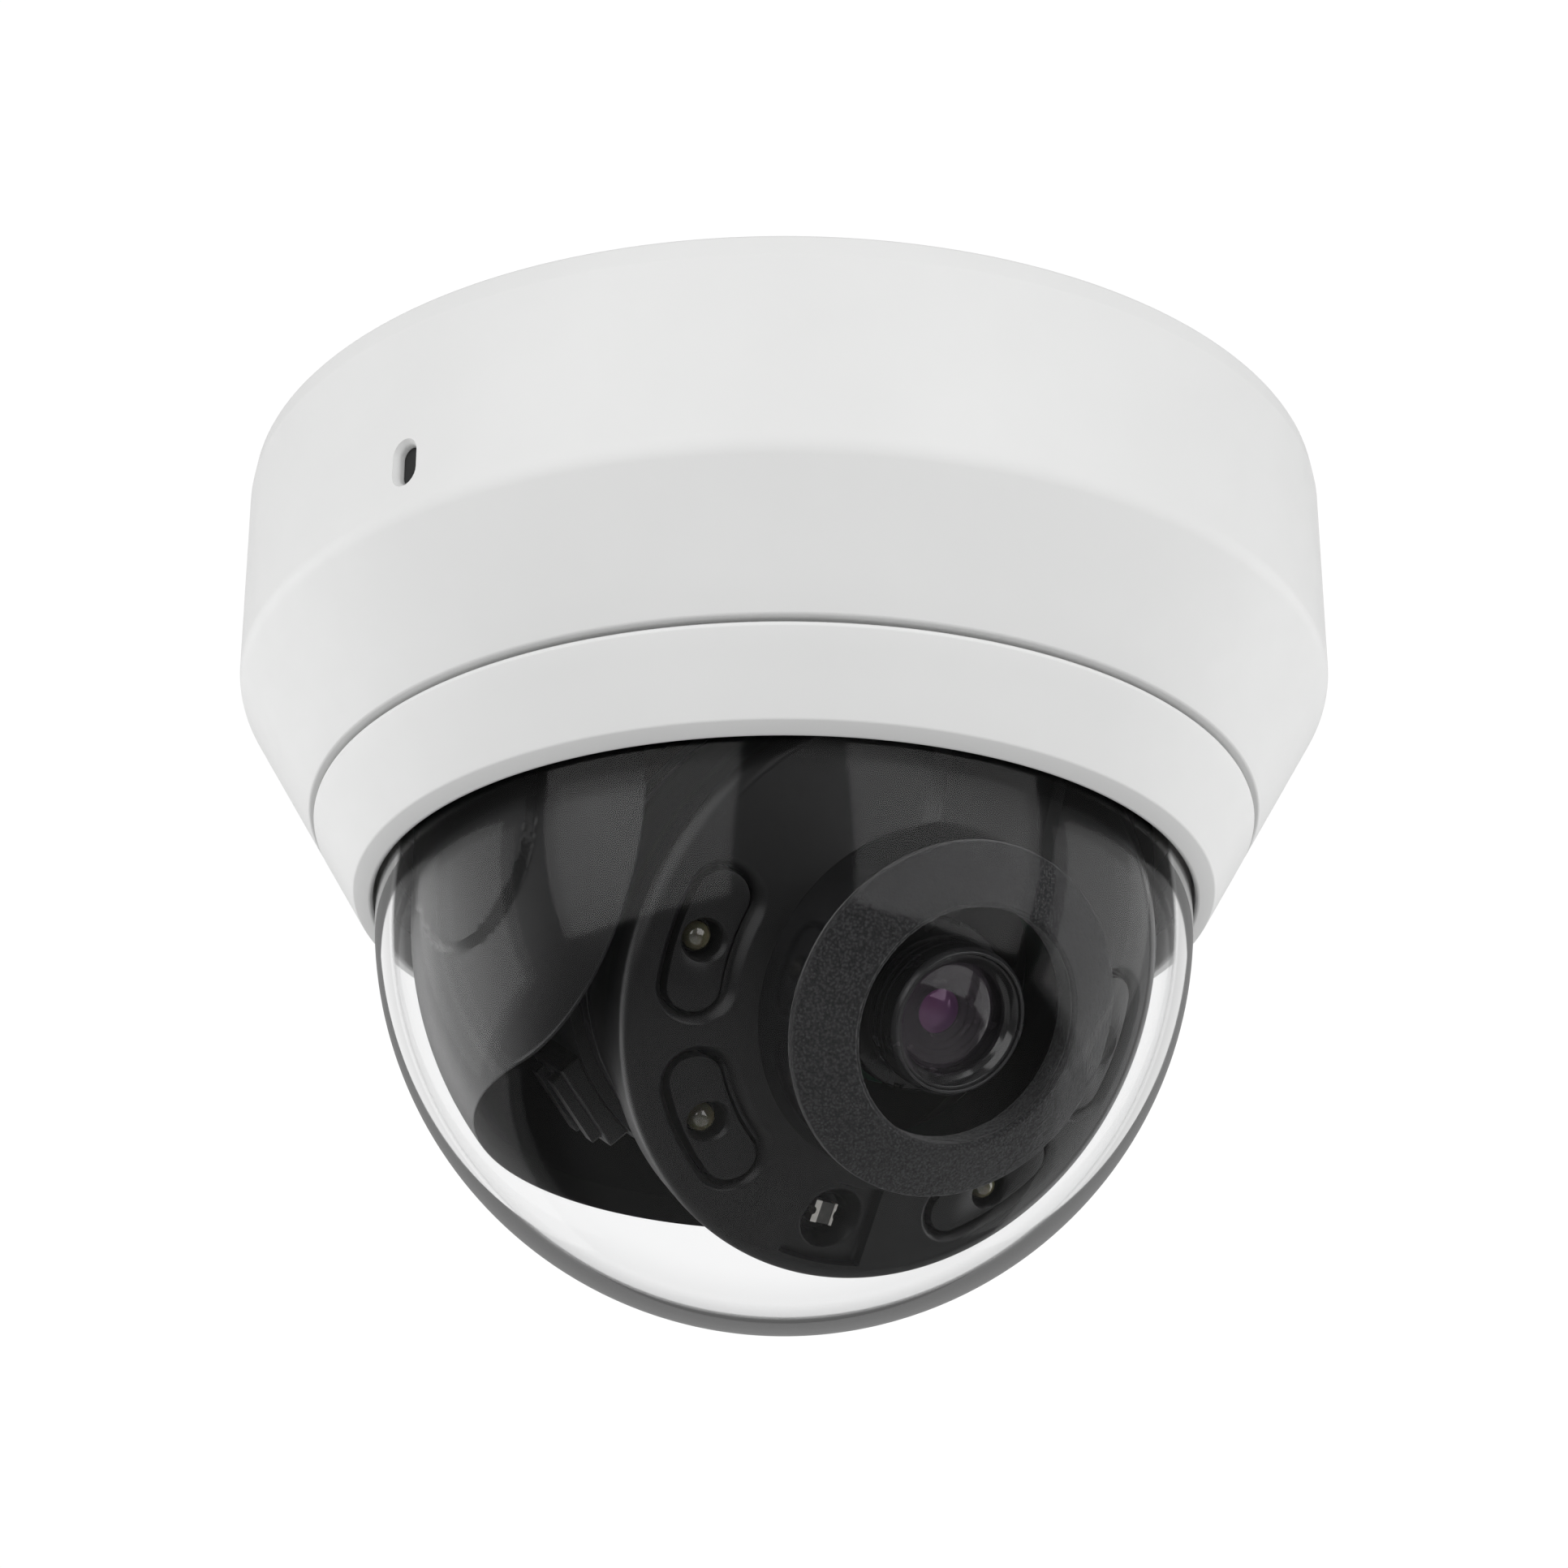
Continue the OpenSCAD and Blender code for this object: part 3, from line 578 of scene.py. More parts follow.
ex = make("housing_inner_tmp", ev, ef, IDENT, white_shell)
bm = bmesh.new()
bm.from_mesh(housing.data)
bm.from_mesh(ex.data)
bmesh.ops.dissolve_degenerate(bm, dist=1e-7, edges=bm.edges)
bm.to_mesh(housing.data)
bm.free()
bpy.data.objects.remove(ex)
for p in housing.data.polygons:
    p.use_smooth = True
housing.data.set_sharp_from_angle(angle=math.radians(28))
piece(housing, "base", "white_shell", "upper_housing")

# ---------------------------------------------------------------- cover ring
LIP = -49.41
top = SEAM_Z - 0.44
pr = []
pr += fil((SPIG, top), (cone_at(top), top), (cone_at(-48.26), -48.26), 0.42, 6)
for zz in (-42.0, -45.0):
    pr.append((cone_at(zz), zz))
pr += fil((cone_at(-45), -45), (cone_at(-48.26), -48.26), (44.75, LIP + 0.1), 0.6, 6)
pr += fil((cone_at(-48.26), -48.26), (44.5, LIP), (44.36, -48.2), 0.38, 5)
pr += [(44.34, -47.2), (44.30, -45.5), (46.5, -45.5), (46.5, -36.2)]
pr += fil((46.5, -36.2), (SPIG, -36.2), (SPIG, top), 0.3, 3)
pr += [(SPIG, top + 0.2), (SPIG + 0.2, top)]
v, f = revolve_data(pr, 288)
parts = [(v, f)]
for a in LUGS:
    arc = [math.radians(a - 10 + i * 2) for i in range(11)]
    lp = [(48.2 * math.cos(t), 48.2 * math.sin(t)) for t in arc] + [(50.0 * math.cos(t), 50.0 * math.sin(t)) for t in reversed(arc)]
    parts.append(prism_data(lp, -36.8, -35.2))
v, f = merge_data(parts)
cover = make("cover_ring_shell", v, f, IDENT, white_shell, sharp=28)
piece(cover, "dome_cover", "white_shell", "cover_ring")

# ----------------------------------------------------------------- clear dome
DC = -50.72
DR, DT = 44.18, 1.9
pr = [(0.0, DC - DR)]
for a in np.linspace(1.6, 90, 58):
    t = math.radians(a)
    pr.append((DR * math.sin(t), DC - DR * math.cos(t)))
pr += [(DR, DC + 2.6), (DR, DC + 5.05)]
pr += [(DR + 0.18, DC + 5.22), (46.2, DC + 5.22), (46.4, DC + 5.4), (46.4, DC + 6.62), (46.2, DC + 6.82), (DR - 0.3, DC + 6.82),
       (DR - DT + 0.15, DC + 6.82), (DR - DT, DC + 6.6), (DR - DT, DC + 3.0)]
for a in np.linspace(90, 1.6, 56):
    t = math.radians(a)
    pr.append(((DR - DT) * math.sin(t), DC - (DR - DT) * math.cos(t)))
pr.append((0.0, DC - DR + DT))
v, f = revolve_data(pr, 256)
dome = make("dome_bubble", v, f, IDENT, dome_mat, sharp=35)
dome.data.materials.append(dome_in_mat)
for p in dome.data.polygons:
    c = p.center
    if math.sqrt(c.x ** 2 + c.y ** 2 + (min(0.0, c.z - DC * MM)) ** 2) < (DR - DT + 0.2) * MM:
        p.material_index = 1
piece(dome, "dome_cover", "clear_dome", "clear_dome")

# gasket and retainer, both with rounded section edges
v, f = revolve_data(round_loop([(42.6, -43.9), (46.3, -43.9), (46.3, -43.1), (42.6, -43.1)], 0.25, 4), 200)
gasket = make("gasket_ring", v, f, IDENT, rubber, sharp=40)
piece(gasket, "dome_cover", "rubber_seal", "dome_gasket")
v, f = revolve_data(round_loop([(42.6, -43.1), (46.45, -43.1), (46.45, -41.5), (43.6, -41.5), (43.6, -39.5), (42.6, -39.5)],
                               [0.2, 0.2, 0.2, 0.3, 0.3, 0.3], 4), 200)
retainer = make("retainer_ring", v, f, IDENT, black_plastic, sharp=40)
piece(retainer, "dome_cover", "black_plastic", "dome_retainer")

# --------------------------------------------------------------- inner shroud
SR, ST, SW = 40.3, 1.8, 32.8


def az_params():
    """Angles around the mouth and whether each is beside the slot, from the front right round the back."""
    cols = []
    ph_max = math.acos(SW / SR)
    y_e = math.sqrt(SR * SR - SW * SW)
    for i in range(116):
        tau = math.pi / 2 * (1 - i / 116)
        y = -y_e * math.sin(tau)
        cols.append(("side", 1, tau, y))
    for i in range(97):
        cols.append(("back", 0, math.pi * i / 96, 0))
    for i in range(1, 117):
        tau = math.pi / 2 * i / 116
        y = -y_e * math.sin(tau)
        cols.append(("side", -1, tau, y))
    return cols


def pad_lift(y, z):
    """The raised pad over a tilt pivot: a U open at the top."""
    d = (math.hypot(y, z) if z < 0 else abs(y)) - 11.3
    t = min(1.0, max(0.0, (0.18 - d) / 0.42))
    return 0.98 * t * t * (3 - 2 * t)


def shroud_point(R, phi, z):
    rho = R if z >= 0 else math.sqrt(max(0.0, R * R - z * z))
    return np.array((rho * math.cos(phi), rho * math.sin(phi), z))


def shroud_shell():
    verts = []
    cols = az_params()
    n_out, n_in = 150, 12
    fr = 0.42
    top_z = 25.6
    row_count = None
    for kind, sgn, t, y in cols:
        Ri = SR - ST
        if kind == "back":
            phi_o = phi_i = t
            zo = -math.sqrt(SR * SR - SW * SW)
            zi = -math.sqrt(Ri * Ri - SW * SW)
        else:
            # outer rim point lies on x = +-SW, on the sphere at angle t round the cut circle
            yo = y
            zo = -math.sqrt(max(0.0, SR * SR - SW * SW - yo * yo))
            phi_o = math.atan2(yo, sgn * SW)
            yie = -math.sqrt(Ri * Ri - SW * SW) * math.sin(t)
            zi = -math.sqrt(max(0.0, Ri * Ri - SW * SW - yie * yie))
            phi_i = math.atan2(yie, sgn * SW)
        if phi_o < -math.pi / 2:
            phi_o += 2 * math.pi
        if phi_i < -math.pi / 2:
            phi_i += 2 * math.pi
        E_o = shroud_point(SR, phi_o, zo)
        E_i = shroud_point(Ri, phi_i, zi)
        b = E_i - E_o
        b /= np.linalg.norm(b)
        # outer column from the top down to the start of the edge rounding
        zs = np.linspace(top_z, zo, n_out)
        col = []
        for z in zs[:-1]:
            p = shroud_point(SR, phi_o, z)
            lift = pad_lift(p[1], z)
            if lift > 0:
                q = shroud_point(SR + lift, phi_o, z)
                d = q - p
                p = p + d
            col.append(p)
        # drop the points nearer the edge than the rounding, keeping the count by sliding them
        a = col[-1] - E_o
        la = np.linalg.norm(a)
        a = a / la if la > 1e-9 else np.array((0, 0, 1.0))
        if kind == "side":
            # the surface runs away from a side rim along the sphere, at right angles to the slot
            nrm = E_o / np.linalg.norm(E_o) if zo < -1e-6 else np.array((E_o[0], E_o[1], 0)) / math.hypot(E_o[0], E_o[1])
            out = np.array((sgn * 1.0, 0, 0))
            a2 = out - nrm * float(out @ nrm)
            a2 /= np.linalg.norm(a2)
        else:
            a2 = a
        keep = []
        for p in col:
            # how far p is from the rim, across it
            if kind == "side":
                dist = abs(p[0]) - SW
                dist = dist / max(0.35, abs(a2[0]))
            else:
                dist = math.hypot(p[0], p[1]) - SW
                dist = dist / max(0.3, math.hypot(a2[0], a2[1]))
            keep.append(dist)
        S = E_o + a2 * fr
        for k, p in enumerate(col):
            if keep[k] < fr:
                col[k] = S.copy() if kind == "back" else p + a2 * (fr - keep[k])
        bez = []
        for s in np.linspace(0.0, 1.0, 5):
            bez.append((1 - s) ** 2 * S + 2 * s * (1 - s) * E_o + s * s * (E_o + b * fr))
        f2 = 0.3
        nri = E_i / np.linalg.norm(E_i)
        if kind == "side":
            out = np.array((sgn * 1.0, 0, 0))
            a3 = out - nri * float(out @ nri)
            a3 /= np.linalg.norm(a3)
        else:
            pz = shroud_point(Ri, phi_i, zi + 0.5)
            a3 = (pz - E_i) / np.linalg.norm(pz - E_i)
        bez2 = []
        for s in np.linspace(0.0, 1.0, 4):
            bez2.append((1 - s) ** 2 * (E_i - b * f2) + 2 * s * (1 - s) * E_i + s * s * (E_i + a3 * f2))
        inner = []
        for z in np.linspace(zi, top_z, n_in)[1:]:
            inner.append(shroud_point(Ri, phi_i, z))
        column = col + bez + bez2 + inner
        row_count = len(column)
        verts.append(column)
    C, Rn = len(verts), row_count
    flat = [tuple(p) for c in verts for p in c]
    faces = []
    for i in range(C - 1):
        for j in range(Rn):
            j2 = (j + 1) % Rn
            faces.append((i * Rn + j, (i + 1) * Rn + j, (i + 1) * Rn + j2, i * Rn + j2))
    faces.append(tuple(range(Rn)))
    faces.append(tuple((C - 1) * Rn + j for j in range(Rn - 1, -1, -1)))
    return flat, faces


# ---------------------------------------------------------------- front cover
FZ, FR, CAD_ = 29.6, 18.66, 0.277
LED_A = [0, -45, -135, 180]
LED_R = 25.2


def face_at(r):
    return FZ - (r - FR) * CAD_


def sstep(x, a, b):
    """0 at a, 1 at b, smooth between."""
    t = np.clip((x - a) / (b - a), 0, 1)
    return t * t * (3 - 2 * t)


def lstep(x, a, b):
    return np.clip((x - a) / (b - a), 0, 1)


def sd_bean(x, y, ang, rm, hw, ha):
    ca, sa = math.cos(math.radians(ang)), math.sin(math.radians(ang))
    u = x * ca + y * sa
    w = -x * sa + y * ca
    rho = np.hypot(u, w)
    phi = np.arctan2(w, u)
    h = math.radians(ha)
    d_arc = np.abs(rho - rm) - hw
    d_end = np.hypot(u - rm * math.cos(h), np.abs(w) - rm * math.sin(h)) - hw
    return np.where(np.abs(phi) <= h, d_arc, d_end)


def face_profile():
    """Arc-length rows from the collar over the rim and down the outside to the seat of the cover."""
    pts = []
    e = fil((31.1, 20.5), (31.9, 26.0), (FR, FZ), 2.2, 14)
    end = e[-1]
    # r 18.2 (under the collar) to the start of the rounding
    n = 86
    for i in range(n + 1):
        r = 18.3 + (end[0] - 18.3) * i / n
        pts.append((r, face_at(r)))
    pts += list(reversed(e[:-1]))
    a = np.array(e[0])
    for t in (0.3, 0.65, 1.0):
        q = a * (1 - t) + np.array((31.1, 20.5)) * t
        pts.append(tuple(q))
    pts += [(30.6, 19.0), (29.2, 14.8), (27.2, 9.0), (26.85, 7.2)]
    pts += [(26.7, 6.25), (26.45, 6.0), (22.0, 6.0), (16.0, 6.0), (16.0, 7.8), (25.4, 7.8), (25.4, 9.0), (29.2, 20.8),
            (28.9, 22.6), (28.6, 23.05), (18.3, 23.05)]
    return pts


def front_cover_data():
    pts = face_profile()
    cols = 900
    th0 = np.linspace(0, 2 * math.pi, cols, endpoint=False) + math.pi * 1.5
    rows = len(pts)
    V = np.zeros((rows, cols, 3))
    last_top = 86 + 14 + 1
    for i, (r, z) in enumerate(pts):
        th = th0.copy()
        if i <= last_top + 3:
            # near the channel the columns run straight, parallel to its sides
            x25 = 25.0 * np.cos(th)
            top_side = np.sin(th) > 0
            w = 1 - sstep(np.abs(x25 - 1.8), 10.2, 15.0)
            xr = np.clip(x25 / max(r, 18.0), -1, 1)
            straight = np.arccos(xr)
            base_a = np.arctan2(np.sin(th), np.cos(th))
            th = np.where(top_side & (w > 0), base_a + w * (straight - base_a), base_a)
        x, y = r * np.cos(th), r * np.sin(th)
        zz = np.full(cols, z)
        if i <= last_top + 2:
            flat = face_at(r)
            top_d = np.zeros(cols)
            # channel
            up = y > 0
            left = 0.86 * lstep(x, -6.75, -4.15) + 0.14 * lstep(x, -4.15, -3.95)
            right = 1 - lstep(x, 9.62, 10.34)
            ch = np.where(up, np.minimum(left, right) * 1.15, 0.0)
            ch = np.where(up & (np.abs(x) < 12), ch, 0.0)
            # light sensor pad: its sides run to the centre
            ang = np.degrees(np.arctan2(x, -y))
            from_side = np.radians(ang + 8.4) * r
            from_top = np.full(cols, r - 20.65)
            near = np.minimum(from_side, from_top)
            corner = 1.7 - np.hypot(1.7 - np.minimum(from_side, 1.7), 1.7 - np.minimum(from_top, 1.7))
            near = np.where((from_side < 1.7) & (from_top < 1.7), corner, near)
            near = np.minimum(near, np.radians(11.15 - ang) * r)
            near = np.minimum(near, 29.75 - r)
            pad = 1.12 * np.clip(near / 0.22, 0, 1) * (y < 0)
            rc = np.hypot(x - 0.5, y + 24.8)
            cone = np.where(rc < 3.5, 1.7 * lstep(rc, 3.5, 2.5), 0.0)
            cone = cone + 1.4 * lstep(rc, 2.45, 2.3)
            d = np.maximum(ch, pad + np.where(pad > 0.3, cone, 0.0))
            for a in LED_A:
                so = sd_bean(x, y, a, 24.9, 3.98, 10.4)
                si = sd_bean(x, y, a, 25.15, 3.12, 10.9)
                led = 0.16 * sstep(so, 0.20, 0.0) + 0.95 * lstep(so, 0.0, -0.80) + 2.6 * sstep(si, 0.02, -0.18)
                d = np.maximum(d, led)
            target = flat - d
            zz = np.where(d > 0, np.minimum(z, target), z)
        V[i, :, 0], V[i, :, 1], V[i, :, 2] = x, y, zz
    return V.reshape(-1, 3), grid_faces(rows, cols, True, closed_rows=True)


fv, ff = front_cover_data()
cover_face = make("face_cover", fv, ff, BALL_M, face_black, sharp=50)
piece(cover_face, "camera_module", "black_plastic", "front_cover")

# window inserts: a crowned plateau with a countersunk hole, one per lamp


def bean_loop(rm, hw, ha, k_arc=10, k_end=14):
    pts = []
    h = math.radians(ha)
    for i in range(k_arc + 1):
        a = -h + 2 * h * i / k_arc
        pts.append(((rm + hw) * math.cos(a), (rm + hw) * math.sin(a)))
    for i in range(1, k_end):
        a = h + math.pi * i / k_end
        pts.append((rm * math.cos(h) + hw * math.cos(a), rm * math.sin(h) + hw * math.sin(a)))
    for i in range(k_arc + 1):
        a = h - 2 * h * i / k_arc
        pts.append(((rm - hw) * math.cos(a), (rm - hw) * math.sin(a)))
    for i in range(1, k_end):
        a = math.pi - h + math.pi * i / k_end
        pts.append((rm * math.cos(h) + hw * math.cos(a), -rm * math.sin(h) + hw * math.sin(a)))
    return pts


def insert_mesh(ang):
    bm = bmesh.new()
    top = 0.38

    def ring_of(loop, zf):
        return [bm.verts.new((x, y, zf(x, y))) for x, y in loop]

    def strip(a, b):
        n = len(a)
        for i in range(n):
            j = (i + 1) % n
            bm.faces.new((a[i], a[j], b[j], b[i]))

    zt = lambda dd: (lambda x, y: face_at(math.hypot(x, y)) - top - dd)
    outer = []
    outer.append(ring_of(bean_loop(LED_R - 0.05, 2.68, 11), lambda x, y: 24.12))
    outer.append(ring_of(bean_loop(LED_R - 0.05, 2.68, 11), zt(0.30)))
    for hw, dd in ((2.67, 0.12), (2.64, 0.05), (2.60, 0.012), (2.55, 0.0)):
        outer.append(ring_of(bean_loop(LED_R - 0.05, hw, 11), zt(dd)))
    for a, b in zip(outer, outer[1:]):
        strip(a, b)
    hole = []
    circ = [(LED_R + math.cos(t), math.sin(t)) for t in np.linspace(0, 2 * math.pi, 48, endpoint=False)]

    def cring(r, zf):
        return [bm.verts.new((LED_R + r * (x - LED_R), r * y, zf(LED_R + r * (x - LED_R), r * y))) for x, y in circ]

    hole.append(cring(2.36, zt(0.0)))
    hole.append(cring(2.32, zt(0.03)))
    hole.append(cring(2.06, zt(0.50)))
    hole.append(cring(2.00, zt(0.62)))
    hole.append(cring(1.98, lambda x, y: 24.12))
    for a, b in zip(hole, hole[1:]):
        strip(b, a)
    strip(hole[-1], [v for v in hole[-1]]) if False else None
    bm.edges.ensure_lookup_table()
    e1 = [bm.edges.get((outer[-1][i], outer[-1][(i + 1) % len(outer[-1])])) for i in range(len(outer[-1]))]
    e2 = [bm.edges.get((hole[0][i], hole[0][(i + 1) % 48])) for i in range(48)]
    bmesh.ops.triangle_fill(bm, use_beauty=True, use_dissolve=False, edges=e1 + e2)
    e3 = [bm.edges.get((outer[0][i], outer[0][(i + 1) % len(outer[0])])) for i in range(len(outer[0]))]
    e4 = [bm.edges.get((hole[-1][i], hole[-1][(i + 1) % 48])) for i in range(48)]
    bmesh.ops.triangle_fill(bm, use_beauty=True, use_dissolve=False, edges=e3 + e4)
    rotm = Matrix.Rotation(math.radians(ang), 4, "Z")
    bmesh.ops.transform(bm, matrix=rotm, verts=bm.verts)
    vs = [tuple(v.co) for v in bm.verts]
    bm.verts.index_update()
    fs = [tuple(v.index for v in f.verts) for f in bm.faces]
    bm.free()
    return vs, fs


v, f = merge_data([insert_mesh(a) for a in LED_A])
inserts = make("lamp_inserts", v, f, BALL_M, face_black, sharp=40)
piece(inserts, "camera_module", "black_plastic", "led_inserts")

# the lamps: a square foot, a short barrel and a moulded clear dome
parts = []
pr = [(0.0, 24.1), (1.53, 24.1), (1.60, 24.2)]
for a in np.linspace(0, 87, 14):
    t = math.radians(a)
    pr.append((1.60 * math.cos(t), 25.2 + 1.60 * math.sin(t)))
pr.append((0.0, 26.8))
for a in LED_A:
    rotm = Matrix.Rotation(math.radians(a), 4, "Z") @ Matrix.Translation((LED_R, 0, 0))
    v, f = revolve_data(pr, 40)
    parts.append((put(v, rotm), f))
    lp = round_loop([(-1.25, -1.25), (1.25, -1.25), (1.25, 1.25), (-1.25, 1.25)], 0.25, 3)
    v, f = prism_data(lp, 23.0, 24.25)
    parts.append((put(v, rotm), f))
v, f = merge_data(parts)
leds = make("lamps", v, f, BALL_M, led_mat, sharp=40)
piece(leds, "camera_module", "lamp_lens", "ir_leds")

# light sensor: a dark body with tinned ends on a small foot
parts = []
lp = round_loop([(-0.42, -25.82), (1.30, -25.82), (1.30, -23.53), (-0.42, -23.53)], 0.12, 3)
body_d = prism_data(lp, 24.4, 25.46)
v, f = merge_data([body_d, prism_data(round_loop([(-1.1, -25.8), (1.45, -25.8), (1.45, -23.5), (-1.1, -23.5)], 0.15, 3), 23.0, 24.45)])
sens = make("sensor_chip", v, f, BALL_M, sensor_body, sharp=30)
piece(sens, "camera_module", "chip", "light_sensor")
parts = []
# each tin has a half-round notch in its outer end, as a castellated chip does
notch = [(-1.14 + 0.34 * math.cos(t), -24.67 + 0.42 * math.sin(t)) for t in np.linspace(-math.pi / 2, math.pi / 2, 9)]
lp = [(-0.40, -25.86), (-0.40, -23.49), (-1.14, -23.49)] + list(reversed(notch)) + [(-1.14, -25.86)]
parts.append(prism_data(lp, 24.42, 25.53))
notch = [(1.52 - 0.16 * math.cos(t), -24.67 + 0.42 * math.sin(t)) for t in np.linspace(-math.pi / 2, math.pi / 2, 9)]
lp = [(1.18, -23.49), (1.18, -25.86), (1.52, -25.86)] + notch + [(1.52, -23.49)]
parts.append(prism_data(lp, 24.42, 25.53))
v, f = merge_data(parts)
ends = make("sensor_ends", v, f, BALL_M, pale_metal, sharp=30)
piece(ends, "camera_module", "steel")

# ------------------------------------------------------------ collar and foam
pr = round_loop([(16.6, 23.0), (18.6, 23.0), (18.6, 36.4), (16.6, 36.4)], [0.2, 0.2, 0.35, 0.35], 5)
v, f = revolve_data(pr, 220)
collar = make("collar_ring", v, f, BALL_M, gloss_black, sharp=40)
piece(collar, "camera_module", "black_plastic", "lens_collar")


def hash_noise(seed, a, b, c):
    """Smooth value noise on a lattice, the same on every run."""
    def h(i, j, k):
        q = np.sin(i * 127.1 + j * 311.7 + k * 74.7 + seed * 19.19) * 43758.5453
        return q - np.floor(q)
    ia, ib, ic = np.floor(a), np.floor(b), np.floor(c)
    fa, fb, fc = a - ia, b - ib, c - ic
    fa, fb, fc = [t * t * (3 - 2 * t) for t in (fa, fb, fc)]
    out = 0
    for da in (0, 1):
        for db in (0, 1):
            for dc in (0, 1):
                w = (fa if da else 1 - fa) * (fb if db else 1 - fb) * (fc if dc else 1 - fc)
                out = out + w * h(ia + da, ib + db, ic + dc)
    return out


def foam_data():
    R = 41.82
    pts = []
    r0, r1 = 12.4, 18.74
    zo1 = math.sqrt(R * R - r1 * r1)
    zo0 = math.sqrt(R * R - r0 * r0)
    pts += [(r0 + 0.3, 36.4), (r1 - 0.25, 36.4), (r1, 36.6)]
    for z in np.linspace(36.75, zo1 - 0.35, 5):
        pts.append((r1, z))
    pts += fil((r1, 36.0), (r1, zo1), (r1 - 1.0, math.sqrt(R * R - (r1 - 1) ** 2)), 0.3, 4)
    for r in np.linspace(r1 - 0.42, r0 + 0.5, 42):
        pts.append((r, math.sqrt(R * R - r * r)))
    pts += fil((r0 + 1.0, math.sqrt(R * R - (r0 + 1) ** 2)), (r0, zo0), (r0, 38.0), 0.38, 4)
    for z in np.linspace(zo0 - 0.5, 36.8, 18):
        pts.append((r0, z))
    cols = 520
    rows = len(pts)
    P = np.array(pts)
    th = np.linspace(0, 2 * math.pi, cols, endpoint=False)
    Rr = np.repeat(P[:, 0][:, None], cols, 1)
    Zz = np.repeat(P[:, 1][:, None], cols, 1)
    X, Y = Rr * np.cos(th), Rr * np.sin(th)
    n1 = hash_noise(3, X * 1.9 + 50, Y * 1.9 + 50, Zz * 1.9)
    n2 = hash_noise(7, X * 4.2 + 90, Y * 4.2 + 90, Zz * 4.2)
    pit = np.clip((n2 - 0.55) / 0.3, 0, 1)
    d = -(0.035 * n1 + 0.06 * pit)
    # outward direction of the section
    tang = np.roll(P, -1, 0) - np.roll(P, 1, 0)
    nr = tang[:, 1].copy()
    nz = -tang[:, 0].copy()
    ln = np.hypot(nr, nz)
    ln[ln == 0] = 1
    nr, nz = nr / ln, nz / ln
    fade = np.ones(rows)
    fade[:3] = 0
    Rr = Rr + d * nr[:, None] * fade[:, None]
    Zz = Zz + d * nz[:, None] * fade[:, None]
    V = np.stack([Rr * np.cos(th), Rr * np.sin(th), Zz], -1).reshape(-1, 3)
    return V, grid_faces(rows, cols, True, closed_rows=True)


v, f = foam_data()
foam = make("foam_seal", v, f, BALL_M, foam_mat)
piece(foam, "camera_module", "foam", "foam_ring")

# ------------------------------------------------------------------ the lens
LR = 7.84
pr = [(4.6, 16.6), (5.7, 16.6), (6.0, 16.9), (6.0, 33.0)]
pr += fil((6.0, 33.0), (LR, 33.0), (LR, 36.0), 0.25, 3)
pr += [(LR, 34.4), (LR - 0.10, 34.5), (LR - 0.10, 34.8), (LR, 34.9), (LR, 35.6), (LR - 0.10, 35.7), (LR - 0.10, 36.0), (LR, 36.1)]
pr += fil((LR, 36.1), (LR, 37.75), (LR - 0.45, 38.3), 0.25, 4)
pr += fil((LR, 37.75), (LR - 0.42, 38.3), (7.1, 38.3), 0.12, 3)
pr += fil((7.4, 38.3), (7.14, 38.3), (7.14, 38.0), 0.08, 3)
# the way in is stepped, each step smaller, so that stray light is caught
pr += [(7.14, 35.56), (5.75, 35.5), (5.65, 35.28), (5.20, 35.24), (5.14, 34.98), (4.62, 34.94), (4.56, 34.66), (3.95, 34.62),
       (3.90, 34.36), (3.25, 34.32), (3.20, 34.10), (2.50, 34.05), (2.36, 33.9), (2.36, 33.0), (4.6, 32.8), (4.6, 30.0)]
v, f = revolve_data(pr, 160)
barrel = make("barrel_shell", v, f, BALL_M, black_metal, sharp=32)
piece(barrel, "focus_lens", "black_metal", "lens_barrel")
pr = round_loop([(5.85, 36.4), (7.08, 36.4), (7.08, 38.05), (6.78, 38.05), (6.35, 37.35), (5.95, 36.95)], [0.08, 0.1, 0.1, 0.1, 0.12, 0.06], 3)
v, f = revolve_data(pr, 160)
trim = make("trim_ring", v, f, BALL_M, gloss_black, sharp=32)
piece(trim, "focus_lens", "black_metal", "lens_trim_ring")
pr = [(0.0, 35.62), (6.9, 35.62), (7.02, 35.72), (7.02, 36.28), (6.9, 36.38), (5.84, 36.38)]
Rg, cz = 12.25, 25.6
a0 = math.asin(5.8 / Rg)
for a in np.linspace(a0, 0.03, 26):
    pr.append((Rg * math.sin(a), cz + Rg * math.cos(a)))
pr.append((0.0, cz + Rg))
v, f = revolve_data(pr, 140)
glass = make("front_element", v, f, BALL_M, lens_front_mat, sharp=32)
piece(glass, "focus_lens", "lens_glass", "lens_front_glass")

# the second glass, seen as a small coloured disc at the bottom of the steps
pr = [(0.0, 33.1), (2.2, 33.1), (2.32, 33.2), (2.32, 33.66)]
for a in np.linspace(0.42, 0.04, 12):
    pr.append((2.32 * math.sin(a) / math.sin(0.42), 33.66 + 0.5 * (math.cos(a) - math.cos(0.42)) / (1 - math.cos(0.42))))
pr.append((0.0, 34.16))
v, f = revolve_data(pr, 96)
second = make("second_element", v, f, BALL_M, lens_inner_mat, sharp=40)
piece(second, "focus_lens", "lens_glass")

# ------------------------------------------------------- the shroud's objects
v, f = shroud_shell()
ringv, ringf = revolve_data(round_loop([(33.0, 25.2), (38.5, 25.2), (38.5, 25.0), (SR, 25.0), (SR, 26.9), (33.0, 26.9)],
                                       [0.2, 0, 0, 0, 0.4, 0.3], 4), 160)
v, f = merge_data([(v, f), (ringv, ringf)])
shroud = make("shroud_shell", v, f, PAN_M, shroud_black, sharp=40)
piece(shroud, "pan_unit", "black_plastic", "inner_shroud")

